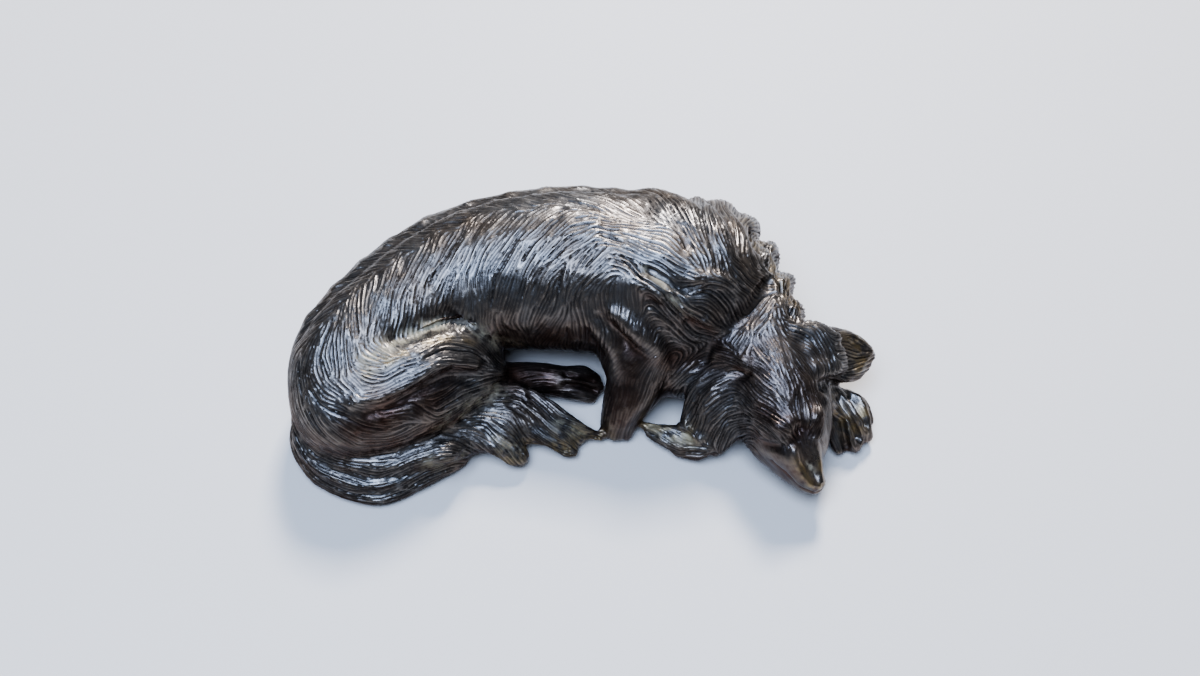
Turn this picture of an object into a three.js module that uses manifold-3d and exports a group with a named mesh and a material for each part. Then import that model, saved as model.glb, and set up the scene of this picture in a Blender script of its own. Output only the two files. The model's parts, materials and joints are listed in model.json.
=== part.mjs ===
// A small cast bronze of a long-haired dog, curled up asleep with its head on one forepaw.
// The casting is one piece. It is described as round and flattened limbs that flow into each other,
// each along a smooth curve, and the skin of all of them together is turned into triangles.
import * as THREE from "three";
import { edgeTable, triTable } from "three/addons/objects/MarchingCubes.js";
import { mergeVertices } from "three/addons/utils/BufferGeometryUtils.js";
import Module from "manifold-3d";

// Driving dimensions. The length is in millimetres. Everything else is in units of about a
// hundredth of the length, and the finished skin is scaled so that its length is exact.
const LENGTH = 120; // from the tail's outer side to the tip of the ear on the far right
const CELL = 0.6; // edge of the cubes that the skin is traced in
const TRIANGLES = 9800; // the most triangles that the finished skin keeps
const STEPS = 10; // straight pieces between two points of a limb's curve
const FLOOR_GAP = 0.02; // a corner is on the floor, or at least this far above it
const FINE_WEIGHT = 5; // how much more an error counts on the head, the paws and the tail
const FINE_BELOW_Y = -11; // the legs' side of the casting, where the haunch, the tail and the paws lie
const FINE_BEYOND_X = 20; // the head's end of the casting
const EVENNESS = 1e-4; // how far the simplified skin prefers even triangles to an exact form
const LEAST_CORNER = 1e-3; // how sharp a corner is before its exact place is worked out
const SLIVER = 0.02; // twice the area below which a triangle's side isn't trusted
const MOST_TURN = 0.2; // cosine of the most that a triangle may turn in one step
const NEEDLE = 0.1; // worst triangle quality that a step may leave
const MOST_REFUSALS = 8; // how often a collapse is tried again later
const LEAST_SHARE = 1e-3; // share of a cube's edge that the skin stays clear of a grid corner
const TINY = 1e-12; // below this a triangle has no side at all
const GONE = 1e9; // stamp of a corner that a collapse has used up
const REACH = 1.5; // how far beyond a limb's radius its distance still matters

// Forms: each point is [x, y, z, radius]. +x is towards the head, -y towards the legs.

// The trunk and the neck, a thick curved tube that rests on the floor
const TRUNK = [
  [-35, -16.8, 9, 9.4],
  [-34.5, -11.5, 10.5, 10.5],
  [-28.5, -3.5, 11.5, 10.8],
  [-19.5, 3, 12.2, 11.6],
  [-7.5, 4.8, 13, 13],
  [3.5, 4.4, 13.5, 13.4],
  [13, 2.6, 13.5, 12.4],
  [19, 1.8, 12.5, 10.6],
];
// A broad foot under the trunk, so that the casting rests flat
const UNDERSIDE = [
  [-34, -15.6, 3, 7.8],
  [-33, -10, 3, 8.6],
  [-27, -2, 3, 8.6],
  [-18, 4.5, 3, 8.6],
  [-7, 6, 3, 8.6],
  [3, 5.5, 3, 8.6],
  [13, 3.5, 3, 8.6],
  [21, 2, 3, 8.2],
];
// The neck, and the deep hair of the chest on its far side
const NECK = [
  [18, 2, 13, 11.5],
  [24.5, -0.5, 13, 9],
  [29.5, -6, 13, 6.2],
];
const CHEST = [
  [19, 8, 9, 8.6],
  [25, 9, 8, 6.2],
  [29.6, 3.6, 7, 5.2],
  [32.4, -3, 6.5, 4.6],
];

// The hind leg that lies on top: the haunch, the raised front edge of the thigh, and the paw
const HAUNCH = [
  [-34.6, -16, 9.2, 8.9],
  [-29, -16.2, 9.2, 8.8],
  [-23, -14.4, 8.6, 7.5],
  [-18, -12.4, 7.6, 5.8],
];
const THIGH = [
  [-33.4, -17.6, 14.6, 4.4],
  [-27.4, -15.8, 16, 4.2],
  [-21.4, -12.4, 15.4, 4],
  [-16.8, -10.6, 12.8, 3.7],
  [-14.6, -11, 8.8, 3.5],
];
const METATARSUS = [
  [-20, -14, 5, 4.2],
  [-12.5, -11, 4.2, 3.2],
  [-6.5, -9.8, 3.4, 2.7],
  [-1.5, -10.3, 2.8, 2.6],
];
const HIND_TOES = [
  [[-2, -8.9, 3, 1.5], [0.6, -8.6, 2.9, 1.5], [2.8, -9, 1.6, 1.2]],
  [[-2, -10.3, 3.2, 1.6], [0.8, -10.4, 3, 1.6], [3.2, -10.7, 1.6, 1.3]],
  [[-2, -11.7, 2.8, 1.5], [0.2, -12, 2.4, 1.4], [2.2, -12.3, 1.3, 1.1]],
];

// The shoulder and the foreleg that lies on top, its paw pointing back towards the tail
const SHOULDER = [
  [8.5, 0.5, 17.5, 8.6],
  [14, -0.5, 18.4, 8.4],
  [19.6, -1.2, 17.4, 7.4],
  [23.8, -2.4, 16, 5.4],
];
const SHOULDER_BLADE = [
  [12, 10.4, 20.4, 4.4],
  [15.4, 6.6, 22.2, 4.9],
  [18.6, 3, 21.8, 4.7],
  [21.6, -1, 19.6, 4.4],
];
const BREAST = [
  [11, -5.6, 7, 7],
  [16.6, -8, 6.5, 6.6],
  [22.6, -9.4, 6.2, 5.6],
];
const UPPER_ARM = [
  [23.5, -3.5, 15, 4.6],
  [18, -4.5, 14, 5.2],
  [13, -6, 12, 5.8],
  [9.5, -8.5, 10, 5.6],
];
const FOREARM = [
  [9.3, -9, 9.5, 5.4],
  [9.5, -12, 7, 4.8],
  [8, -14.6, 5, 4],
  [6.6, -16.6, 3.2, 3],
];
const TUCKED_TOES = [
  [[8.4, -15.6, 3.4, 1.6], [8.1, -17.6, 2.7, 1.5], [7.8, -19.1, 1.3, 1.1]],
  [[6.7, -15.4, 3.4, 1.6], [6.3, -17.5, 2.8, 1.6], [5.9, -19.1, 1.3, 1.2]],
  [[5.4, -15, 2.8, 1.4], [4.9, -16.8, 2.2, 1.3], [4.5, -18.2, 1.2, 1.1]],
];

// The foreleg under the head, its paw pointing away from the body
const LOWER_FOREARM = [
  [27, -5, 5, 5],
  [34, -11, 4.6, 4.2],
  [39.5, -14.8, 4, 3.6],
  [42, -17.2, 3.2, 3.4],
];
const LOWER_TOES = [
  [[43, -14, 4.4, 1.6], [45.2, -15.2, 3.6, 1.6], [46.6, -16.7, 1.6, 1.2]],
  [[41.8, -15.2, 4.8, 1.7], [44.4, -17.4, 3.8, 1.7], [46, -19.4, 1.6, 1.3]],
  [[40.5, -16.2, 4.6, 1.7], [42.6, -19, 3.6, 1.7], [44, -21.2, 1.6, 1.3]],
  [[39.2, -17, 4, 1.6], [40.6, -19.4, 3, 1.5], [41.6, -21.6, 1.5, 1.2]],
];

// The head, from the back of the skull to the nose
const SKULL = [
  [29.8, -9.5, 12.8, 5.6],
  [31, -15, 11, 6.6],
  [32, -19.6, 9.2, 6.2],
  [33.2, -23.4, 8, 4.8],
];
const MUZZLE = [
  [33.2, -23.6, 7.2, 3.8],
  [34.4, -26.4, 6.2, 3.1],
  [35.6, -28.4, 5.2, 2.4],
  [36.3, -29.2, 4.8, 1.9],
];
const JAW = [
  [30, -22, 5.4, 3.2],
  [33, -26.2, 4.4, 2.5],
  [35.1, -28.6, 4, 1.7],
];
const NOSE = [
  [36.2, -29.3, 6.3, 1.4],
  [37, -29.6, 5.8, 1.3],
];
const MUZZLE_RIDGES = [
  [[31.4, -24.4, 10.2, 1.1], [33.2, -26.6, 9, 1.1], [35.2, -28.6, 7.2, 0.9]],
  [[35.4, -24, 10.4, 1.1], [36.4, -26.8, 8.8, 1.1], [37, -28.8, 7, 0.9]],
];
const MUZZLE_GROOVE = [
  [33.4, -23.6, 12.4, 1],
  [34.6, -26.2, 10.4, 1],
  [35.8, -28.2, 8.6, 0.8],
];
const BROWS = [
  [[29.6, -19.8, 12, 1.9], [31.2, -22.4, 12.2, 2.2]],
  [[35.2, -21.6, 12.4, 2.2], [36.8, -19.2, 12, 1.9]],
];
const EYES = [
  [[29.8, -23.4, 10, 1.2], [31.4, -24.6, 10.8, 1.4]],
  [[36, -23.4, 10.8, 1.4], [37.2, -22, 10, 1.2]],
];
// Where the long hair of the head ends and the smooth muzzle begins
const STOP_CREASE = [
  [25.2, -22.4, 7, 0.5],
  [28.4, -24.8, 9.2, 0.7],
  [31.4, -26.2, 11.4, 0.6],
  [33.6, -25.2, 12.6, 0.9],
  [36.2, -25, 11.4, 0.6],
  [38.4, -23.8, 8.6, 0.6],
];
const CHEEKS = [
  [[26, -15.5, 9, 3.6], [27.6, -19.5, 7, 3.4], [30, -23, 5.8, 2.8]],
  [[36.4, -16, 8.6, 3.4], [37, -20, 7.4, 2.8], [36.6, -23.4, 6.6, 2.4]],
];

// The ears: a raised fold at the root, and a leaf of long hair that hangs and curls
const EAR_FOLDS = [
  [[29.5, -8.5, 16.4, 2.2], [26, -10, 15.6, 2.4], [22.8, -11, 14, 1.8], [21.4, -11.8, 12.8, 0.9]],
  [[28, -13, 15.2, 2.2], [25, -12.6, 14.2, 1.9], [22.2, -12.2, 12.8, 1]],
  [[33.6, -9, 15.8, 2.2], [37.4, -8.8, 14.6, 2.4], [40.2, -10.6, 13, 1.9], [41.4, -12.4, 11.6, 1]],
  [[35.6, -11.6, 14.4, 2.4], [38.8, -11.2, 13, 2.2]],
  [[36.2, -14.2, 14, 2], [39, -13.4, 13, 1.8], [41.2, -12.8, 11.8, 1]],
];
const EAR_CREASES = [
  [[29, -15.6, 15.8, 0.8], [25.6, -15, 13.8, 0.9], [22, -13.8, 11.4, 0.8]],
  [[37.2, -17, 13, 0.8], [39.8, -15.4, 11.6, 0.9], [41.8, -14, 9.8, 0.8]],
];
const NEAR_EAR = [
  [25.6, -14, 10, 2.6],
  [22.4, -15.8, 8.2, 2.8],
  [21, -18.2, 5.6, 2.8],
  [20, -20, 3.2, 2.4],
  [16.8, -20.6, 1.8, 1.8],
  [13.2, -19.4, 1.4, 1.3],
];
const NEAR_EAR_LOCKS = [
  [[24.5, -12.4, 12.4, 1.2], [21.4, -12.8, 11.2, 1.4], [18.7, -14.8, 8.8, 1.4],
    [17.7, -17.6, 5.4, 1.4], [17, -19.4, 3.4, 1.3], [13.6, -18.9, 2.6, 1.1], [10.3, -17.6, 1.8, 0.7]],
  [[25.6, -13.8, 12.4, 1.2], [22.8, -14.6, 11.4, 1.4], [20.4, -16.9, 9, 1.45],
    [19.7, -19.4, 5.8, 1.4], [18.4, -21.4, 3.2, 1.3], [14.6, -20.9, 2, 1.1], [11.4, -19, 1.5, 0.8]],
  [[26.5, -15.2, 12, 1.2], [24.3, -16.4, 10.8, 1.4], [22.4, -18.9, 8, 1.45],
    [21.8, -21.3, 4.6, 1.35], [19.2, -22.9, 2, 1.1], [15.8, -22.2, 1.3, 0.9]],
  [[27, -16.8, 10.6, 1.2], [25.2, -18.6, 8.6, 1.4], [24.2, -20.9, 5, 1.3], [22, -22.6, 2.4, 1]],
];
const FAR_EAR_LOCKS = [
  [[36.8, -8, 12, 2], [39.6, -7, 11.2, 2.1], [43, -6.6, 9.4, 2], [45.8, -7, 7.8, 1.5],
    [47.4, -7.8, 6.8, 0.8]],
  [[37, -9.8, 11.6, 2.2], [40.4, -9.2, 10.4, 2.2], [43.6, -8.8, 8.6, 2], [46.2, -8.2, 7.2, 1.2]],
  [[37.4, -12, 10.6, 2], [40.4, -11.8, 9.2, 2.1], [43.6, -11, 7.6, 1.9], [46, -9.4, 6.8, 1.2]],
];

// The tail: a flat core along the floor, and long locks over it that end in separate points
const TAIL_CORE = [
  [-41.4, -17, 5, 2.8],
  [-40, -21.4, 3.4, 2.8],
  [-36.2, -24.4, 2.8, 2.8],
  [-30.6, -25.6, 2.6, 2.8],
  [-24.6, -23.4, 2.8, 3],
  [-18, -20.2, 3.2, 3.6],
  [-11, -17.8, 3.2, 3.6],
  [-5, -18.4, 2.4, 2.8],
  [-0.5, -19.6, 1.6, 1.8],
];
const TAIL_LOCKS = [
  [[-44, -16.5, 3.2, 1.5], [-44.1, -21.4, 2.4, 1.5], [-40.8, -26.2, 1.6, 1.5],
    [-35.2, -29.1, 1.4, 1.5], [-30, -29.9, 1.4, 1.5], [-25.4, -27.6, 1.5, 1.5],
    [-21, -25.2, 1.7, 1.5], [-18, -24, 1.6, 0.9]],
  [[-43.7, -17.2, 5.9, 1.55], [-42.9, -22.2, 4.8, 1.5], [-39.4, -26.2, 4.1, 1.5],
    [-34, -28.4, 3.9, 1.55], [-28.6, -28.2, 3.9, 1.5], [-24, -26, 3.8, 1.5], [-20, -24.4, 3.2, 1]],
  [[-42.2, -17.4, 8, 1.55], [-40.9, -22, 7, 1.5], [-37.2, -25.2, 6.1, 1.5],
    [-31.8, -26.6, 5.8, 1.55], [-27, -26, 5.9, 1.5], [-22.6, -24, 5.9, 1.5]],
  [[-39.2, -20.2, 8.2, 1.5], [-36, -23, 7.2, 1.5], [-30.6, -24.2, 6.7, 1.5],
    [-25.4, -22.8, 6.7, 1.6], [-20, -20, 6.5, 1.6], [-15, -18.8, 5.8, 1.6], [-11, -20.6, 4, 1.8],
    [-9, -23.2, 2, 1.2]],
  [[-28, -21.8, 6.4, 1.5], [-24.2, -20, 6.8, 1.5], [-19, -17.2, 7, 1.6], [-13, -15.8, 6.6, 1.6],
    [-7.4, -17.4, 5.4, 1.55], [-3, -20.2, 3.2, 1.55], [-0.6, -22.2, 1.6, 1]],
  [[-22, -18.2, 6.4, 1.4], [-17, -15.2, 6.6, 1.8], [-11, -13.8, 6.2, 1.6], [-5.6, -15.8, 5, 1.8],
    [-0.6, -18.6, 3.2, 1.5], [3.6, -19.6, 1.5, 0.8]],
  [[-16.6, -21.2, 4.4, 1.6], [-12.6, -21.8, 3.6, 1.55], [-10.2, -23.2, 2, 1.2]],
  [[-7, -19.4, 3.8, 1.6], [-3.6, -21, 2.8, 1.4], [-1.8, -22.4, 1.4, 0.9]],
];
const TAIL_KNOT = [
  [-26.4, -25.4, 5.4, 1.7],
  [-22.4, -24.4, 5.6, 2.2],
  [-19.4, -23.4, 5, 2.1],
  [-17.6, -23.4, 3.8, 1.2],
];

// Locks of the mane, from the neck down the far side, each overlapping the next like a scale
const MANE_LOCKS = [
  [[19.6, 8.6, 19.6, 3.1], [22.4, 12.2, 17.4, 3.1], [24.2, 14.8, 13.6, 2.5], [25, 15.8, 9.6, 1.3]],
  [[23, 6.8, 18, 3.1], [26, 10.8, 15.5, 3.1], [28.2, 13.6, 12, 2.4], [29.6, 15.4, 8.8, 1.2]],
  [[25.6, 3.2, 16.4, 2.9], [29, 6.6, 13.8, 3], [31.2, 9, 10.6, 2.4], [32.4, 10.2, 7.6, 1.2]],
  [[27.6, -0.6, 15.4, 2.7], [31, 1.6, 13, 2.8], [33.2, 3.6, 10, 2.3], [34.4, 4.8, 7, 1.2]],
  [[29, -4, 14.5, 2.5], [32.6, -3, 12.4, 2.6], [34.8, -1.8, 9.6, 2.1], [36, -0.8, 7, 1.1]],
];
// Heavy locks that lap over the shoulder, the chest and the side of the neck
const SHOULDER_LOCKS = [
  [[19, 12, 20.6, 1.8], [20.6, 6, 24.2, 2.2], [22.2, 1, 24.2, 2.1], [24.6, -2.4, 22.2, 1.3]],
  [[22.6, 11.6, 19.2, 1.8], [24.2, 6, 21.6, 2.2], [25.6, 1.4, 21.6, 2.1], [27.6, -2.6, 19.8, 1.2]],
  [[16.8, 3, 25.2, 1.6], [19.6, -1, 23.8, 2.3], [21.8, -4, 21.8, 2.4], [23.4, -6.4, 19.4, 1.6]],
  [[8, -4, 23.8, 1.4], [11.6, -5.6, 23, 2], [15.2, -7, 21.6, 2.1], [18.8, -8, 19.6, 1.9],
    [21.6, -8.8, 17.4, 1.2]],
  [[6, -8, 20, 1.4], [9, -9.6, 18, 1.9], [12, -10.8, 15, 1.9], [13.4, -12, 11.6, 1.2]],
  [[2, -7.2, 18.6, 1.4], [4.6, -9.2, 15.6, 1.9], [6.6, -11, 12, 1.8], [7, -12.6, 8.8, 1.1]],
];
// Furrows between them, the crest of the hair at the withers, and the crease where the neck turns
const SHOULDER_FURROWS = [
  [[8.6, -2.6, 26.6, 0.7], [11.7, -4, 26, 1], [14.2, -5.4, 25, 1.1], [17.4, -6.2, 23.6, 0.8]],
  [[10.6, -7.6, 23, 0.7], [13.8, -8.8, 21.8, 1.1], [16.4, -9.6, 20, 1.1], [20, -10.2, 17.4, 0.8]],
  [[14.4, 11.6, 25.4, 0.6], [15, 7.1, 27.6, 0.8], [15.9, 3.4, 27.6, 0.9], [16.8, -0.4, 26.6, 0.7]],
  [[30, -1.6, 19.4, 0.9], [28.4, -5, 20, 1.2], [26.6, -7.6, 19, 1.2], [24.4, -9.8, 16.6, 1],
    [23.4, -10.6, 13.6, 0.9]],
];
// The hair of the trunk parts along the spine
const SPINE_PARTING = [
  [-43, -11.4, 16.8, 0.6],
  [-40, -6.4, 18.4, 0.8],
  [-35.6, -2, 19.8, 0.8],
  [-28, 4.7, 21.4, 0.8],
  [-20, 10, 21.8, 0.8],
  [-10.8, 12.4, 23.2, 0.8],
  [0, 12.8, 24, 0.8],
  [8, 12.2, 24.4, 0.8],
  [14, 12, 24.4, 0.6],
];
// The crease between the flank and the raised thigh
const THIGH_CREASE = [
  [-28, -12.4, 18.8, 0.5],
  [-24.6, -10.6, 18.6, 0.9],
  [-20.8, -7.6, 18, 1.1],
  [-16.6, -5.8, 15.6, 1],
  [-13.6, -6.6, 12, 0.8],
];

// The coat of the trunk: rows of long soft locks that start near the spine and lean back as they fall.
// Angles go round the trunk from straight up, in degrees, and are positive towards the legs.
const COAT_ROWS = [
  { from: -58, to: -20, count: 12, first: 0.1, last: 0.8 },
  { from: -30, to: 14, count: 14, first: 0.06, last: 0.72 },
  { from: 4, to: 46, count: 12, first: 0.2, last: 0.76 },
  { from: 38, to: 74, count: 9, first: 0.4, last: 0.74 },
];
const COAT_LEAN = 0.05; // how far back a lock's tip lies, as a share of the trunk's curve
const COAT_RADII = [0.9, 1.5, 1.6, 1.3, 0.8];
const COAT_PROUD = 0.3; // how far a lock stands out of the trunk at its thickest

const pathOf = (points) => new THREE.CatmullRomCurve3(points.map(([x, y, z]) => new THREE.Vector3(x, y, z)));
const girthOf = (points) => new THREE.SplineCurve(points.map(([, , , r], i) => new THREE.Vector2(i, r)));

// The limb's curve as short straight pieces, each with its own radius at both ends.
function piecesOf(points) {
  const path = pathOf(points);
  const girth = girthOf(points);
  const count = (points.length - 1) * STEPS;
  const stations = [];
  for (let i = 0; i <= count; i++) {
    stations.push({ at: path.getPoint(i / count), radius: girth.getPoint(i / count).y });
  }
  return stations.slice(1).map((end, i) => {
    const start = stations[i];
    const along = end.at.clone().sub(start.at);
    const growth = end.radius - start.radius;
    return { start: start.at, along, square: along.lengthSq(), radius: start.radius, growth };
  });
}

// A round limb. Its distance is negative inside, and blend is how far it flows into what it meets.
function limb(points, blend) {
  const pieces = piecesOf(points);
  const box = new THREE.Box3();
  for (const [x, y, z, r] of points) {
    const reach = new THREE.Vector3(r, r, r).addScalar(blend + REACH);
    const centre = new THREE.Vector3(x, y, z);
    box.expandByPoint(centre.clone().sub(reach));
    box.expandByPoint(centre.clone().add(reach));
  }
  const distance = (x, y, z) => {
    let nearest = Infinity;
    for (const { start, along, square, radius, growth } of pieces) {
      const dx = x - start.x;
      const dy = y - start.y;
      const dz = z - start.z;
      const share = Math.min(1, Math.max(0, (dx * along.x + dy * along.y + dz * along.z) / square));
      const gap = Math.hypot(dx - share * along.x, dy - share * along.y, dz - share * along.z);
      nearest = Math.min(nearest, gap - radius - share * growth);
    }
    return nearest;
  };
  return { box, blend, distance, carve: false };
}

// One lock of the coat, from the share of the trunk's curve where it starts.
function coatLock(place, from, to) {
  const path = pathOf(TRUNK);
  const girth = girthOf(TRUNK);
  const up = new THREE.Vector3(0, 0, 1);
  const last = COAT_RADII.length - 1;
  return COAT_RADII.map((radius, i) => {
    const share = place - COAT_LEAN * (i / last) ** 2;
    const angle = THREE.MathUtils.degToRad(from + ((to - from) * i) / last);
    const side = path.getTangent(share).cross(up).normalize();
    const out = girth.getPoint(share).y + COAT_PROUD - radius;
    const point = path.getPoint(share)
      .addScaledVector(up, out * Math.cos(angle))
      .addScaledVector(side, out * Math.sin(angle));
    return [...point.toArray(), radius];
  });
}

function coatLocks() {
  return COAT_ROWS.flatMap(({ from, to, count, first, last }) => {
    const pitch = (last - first) / (count - 1);
    return Array.from({ length: count }, (_, i) => coatLock(first + i * pitch, from, to));
  });
}

const furrow = (points, blend) => ({ ...limb(points, blend), carve: true });
const limbs = (list, blend) => list.map((points) => limb(points, blend));

// The whole dog, in the order in which the forms are joined. A small blend keeps a crease.
function dogForms() {
  return [
    limb(TRUNK, 2),
    limb(UNDERSIDE, 3),
    ...limbs(coatLocks(), 1),
    furrow(SPINE_PARTING, 1),
    limb(CHEST, 3),
    limb(NECK, 3),
    limb(HAUNCH, 3),
    limb(SHOULDER, 2.5),
    limb(SHOULDER_BLADE, 2),
    limb(BREAST, 3),
    limb(UPPER_ARM, 2),
    ...limbs(SHOULDER_LOCKS, 0.8),
    limb(FOREARM, 1.5),
    ...limbs(TUCKED_TOES, 0.4),
    limb(THIGH, 1.5),
    furrow(THIGH_CREASE, 2),
    limb(METATARSUS, 1.5),
    ...limbs(HIND_TOES, 0.4),
    limb(LOWER_FOREARM, 1.5),
    ...limbs(LOWER_TOES, 0.4),
    ...limbs(MANE_LOCKS, 0.7),
    ...SHOULDER_FURROWS.map((points) => furrow(points, 0.8)),
    limb(SKULL, 1.2),
    limb(MUZZLE, 1.2),
    limb(JAW, 0.8),
    ...limbs(CHEEKS, 1.6),
    ...limbs(BROWS, 1),
    ...limbs(EYES, 0.5),
    ...limbs(MUZZLE_RIDGES, 0.6),
    furrow(STOP_CREASE, 0.6),
    furrow(MUZZLE_GROOVE, 0.5),
    limb(NOSE, 0.4),
    ...limbs(EAR_FOLDS, 0.7),
    ...EAR_CREASES.map((points) => furrow(points, 0.6)),
    limb(NEAR_EAR, 0.8),
    ...limbs(NEAR_EAR_LOCKS, 0.4),
    ...limbs(FAR_EAR_LOCKS, 0.4),
    limb(TAIL_CORE, 1.2),
    ...limbs(TAIL_LOCKS, 0.5),
    limb(TAIL_KNOT, 0.6),
  ];
}

// Smooth join or cut of two distances: over the width of blend the corner becomes a fillet.
function combine(body, form, blend, carve) {
  const overlap = Math.max(blend - Math.abs(carve ? body + form : body - form), 0) / blend;
  const fillet = overlap * overlap * blend * 0.25;
  return carve ? Math.max(body, -form) + fillet : Math.min(body, form) - fillet;
}

// Distances to the skin at the corners of a grid of cubes.
function sampleForms(forms) {
  const box = new THREE.Box3();
  for (const form of forms) {
    box.union(form.box);
  }
  const low = box.min.toArray();
  const counts = box.getSize(new THREE.Vector3()).toArray().map((size) => Math.ceil(size / CELL) + 1);
  const values = new Float32Array(counts[0] * counts[1] * counts[2]).fill(LENGTH);
  for (const form of forms) {
    const cubesTo = (corner) => corner.toArray().map((v, i) => (v - low[i]) / CELL);
    const first = cubesTo(form.box.min).map((n) => Math.max(0, Math.floor(n)));
    const last = cubesTo(form.box.max).map((n, i) => Math.min(counts[i] - 1, Math.ceil(n)));
    for (let k = first[2]; k <= last[2]; k++) {
      for (let j = first[1]; j <= last[1]; j++) {
        for (let i = first[0]; i <= last[0]; i++) {
          const at = (k * counts[1] + j) * counts[0] + i;
          const distance = form.distance(low[0] + i * CELL, low[1] + j * CELL, low[2] + k * CELL);
          values[at] = combine(values[at], distance, form.blend, form.carve);
        }
      }
    }
  }
  return { low, counts, values };
}

// Cube corners and edges in the order of the marching cubes tables. An edge runs from its lower
// corner along one axis, so that the cubes that share it also share its vertex.
const CORNERS = [
  [0, 0, 0], [1, 0, 0], [1, 1, 0], [0, 1, 0],
  [0, 0, 1], [1, 0, 1], [1, 1, 1], [0, 1, 1],
];
const EDGES = [
  [0, 1], [1, 2], [3, 2], [0, 3], [4, 5], [5, 6],
  [7, 6], [4, 7], [0, 4], [1, 5], [2, 6], [3, 7],
];
const EDGE_AXIS = EDGES.map(([a, b]) => CORNERS[b].findIndex((v, axis) => v !== CORNERS[a][axis]));

// The point of a cube's edge where the distance is zero, in units of the grid.
function crossing(cube, edge, valueA, valueB) {
  const point = cube.map((n, axis) => n + CORNERS[EDGES[edge][0]][axis]);
  point[EDGE_AXIS[edge]] += valueA / (valueA - valueB);
  return point;
}

// Marching cubes: the skin where the distance is zero, as a closed mesh with shared vertices.
function traceSkin({ low, counts, values }) {
  const positions = [];
  const triangles = [];
  const made = new Map();
  const cornerAt = (i, j, k) => (k * counts[1] + j) * counts[0] + i;
  const least = LEAST_SHARE * CELL;
  const field = values.map((value) => (Math.abs(value) < least ? least : value));
  for (let k = 0; k < counts[2] - 1; k++) {
    for (let j = 0; j < counts[1] - 1; j++) {
      for (let i = 0; i < counts[0] - 1; i++) {
        const corners = CORNERS.map(([a, b, c]) => cornerAt(i + a, j + b, k + c));
        const code = corners.reduce((bits, at, n) => bits | (field[at] < 0 ? 1 << n : 0), 0);
        if (edgeTable[code] === 0) continue;
        const vertexOn = (edge) => {
          const [a, b] = EDGES[edge].map((n) => corners[n]);
          const key = a * 3 + EDGE_AXIS[edge];
          if (!made.has(key)) {
            const point = crossing([i, j, k], edge, field[a], field[b]);
            made.set(key, positions.length / 3);
            positions.push(...point.map((v, axis) => low[axis] + v * CELL));
          }
          return made.get(key);
        };
        for (let n = code * 16; triTable[n] !== -1; n += 3) {
          triangles.push(vertexOn(triTable[n]), vertexOn(triTable[n + 2]), vertexOn(triTable[n + 1]));
        }
      }
    }
  }
  return { positions, triangles };
}

// The symmetric 4 x 4 form of the squared distance to a plane, as its ten different entries.
function planeForm(a, b, c, d, weight) {
  return [a * a, a * b, a * c, a * d, b * b, b * c, b * d, c * c, c * d, d * d].map((v) => v * weight);
}

function formError(q, x, y, z) {
  return q[0] * x * x + 2 * q[1] * x * y + 2 * q[2] * x * z + 2 * q[3] * x + q[4] * y * y
    + 2 * q[5] * y * z + 2 * q[6] * y + q[7] * z * z + 2 * q[8] * z + q[9];
}

// The point where a form's error is least, or null where the planes hardly differ.
function bestPoint(q) {
  const minor0 = q[4] * q[7] - q[5] * q[5];
  const minor1 = q[1] * q[7] - q[5] * q[2];
  const minor2 = q[1] * q[5] - q[4] * q[2];
  const det = q[0] * minor0 - q[1] * minor1 + q[2] * minor2;
  const scale = q[0] + q[4] + q[7];
  if (Math.abs(det) < LEAST_CORNER * scale ** 3) return null;
  const side0 = q[6] * q[7] - q[5] * q[8];
  const side1 = q[4] * q[8] - q[6] * q[5];
  const side2 = q[1] * q[8] - q[6] * q[2];
  const x = q[3] * minor0 - q[1] * side0 - q[2] * side1;
  const y = q[0] * side0 - q[3] * minor1 + q[2] * side2;
  const z = q[0] * side1 - q[1] * side2 + q[3] * minor2;
  return [-x / det, -y / det, -z / det];
}

// A queue that always gives back the cheapest entry first.
class CheapestFirst {
  constructor() {
    this.items = [];
  }

  push(item) {
    const { items } = this;
    let at = items.push(item) - 1;
    while (at > 0) {
      const parent = (at - 1) >> 1;
      if (items[parent].cost <= item.cost) break;
      items[at] = items[parent];
      at = parent;
    }
    items[at] = item;
  }

  pop() {
    const { items } = this;
    const top = items[0];
    const item = items.pop();
    if (items.length === 0) return top;
    let at = 0;
    for (;;) {
      let child = at * 2 + 1;
      if (child >= items.length) break;
      if (child + 1 < items.length && items[child + 1].cost < items[child].cost) child++;
      if (items[child].cost >= item.cost) break;
      items[at] = items[child];
      at = child;
    }
    items[at] = item;
    return top;
  }
}

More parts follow.
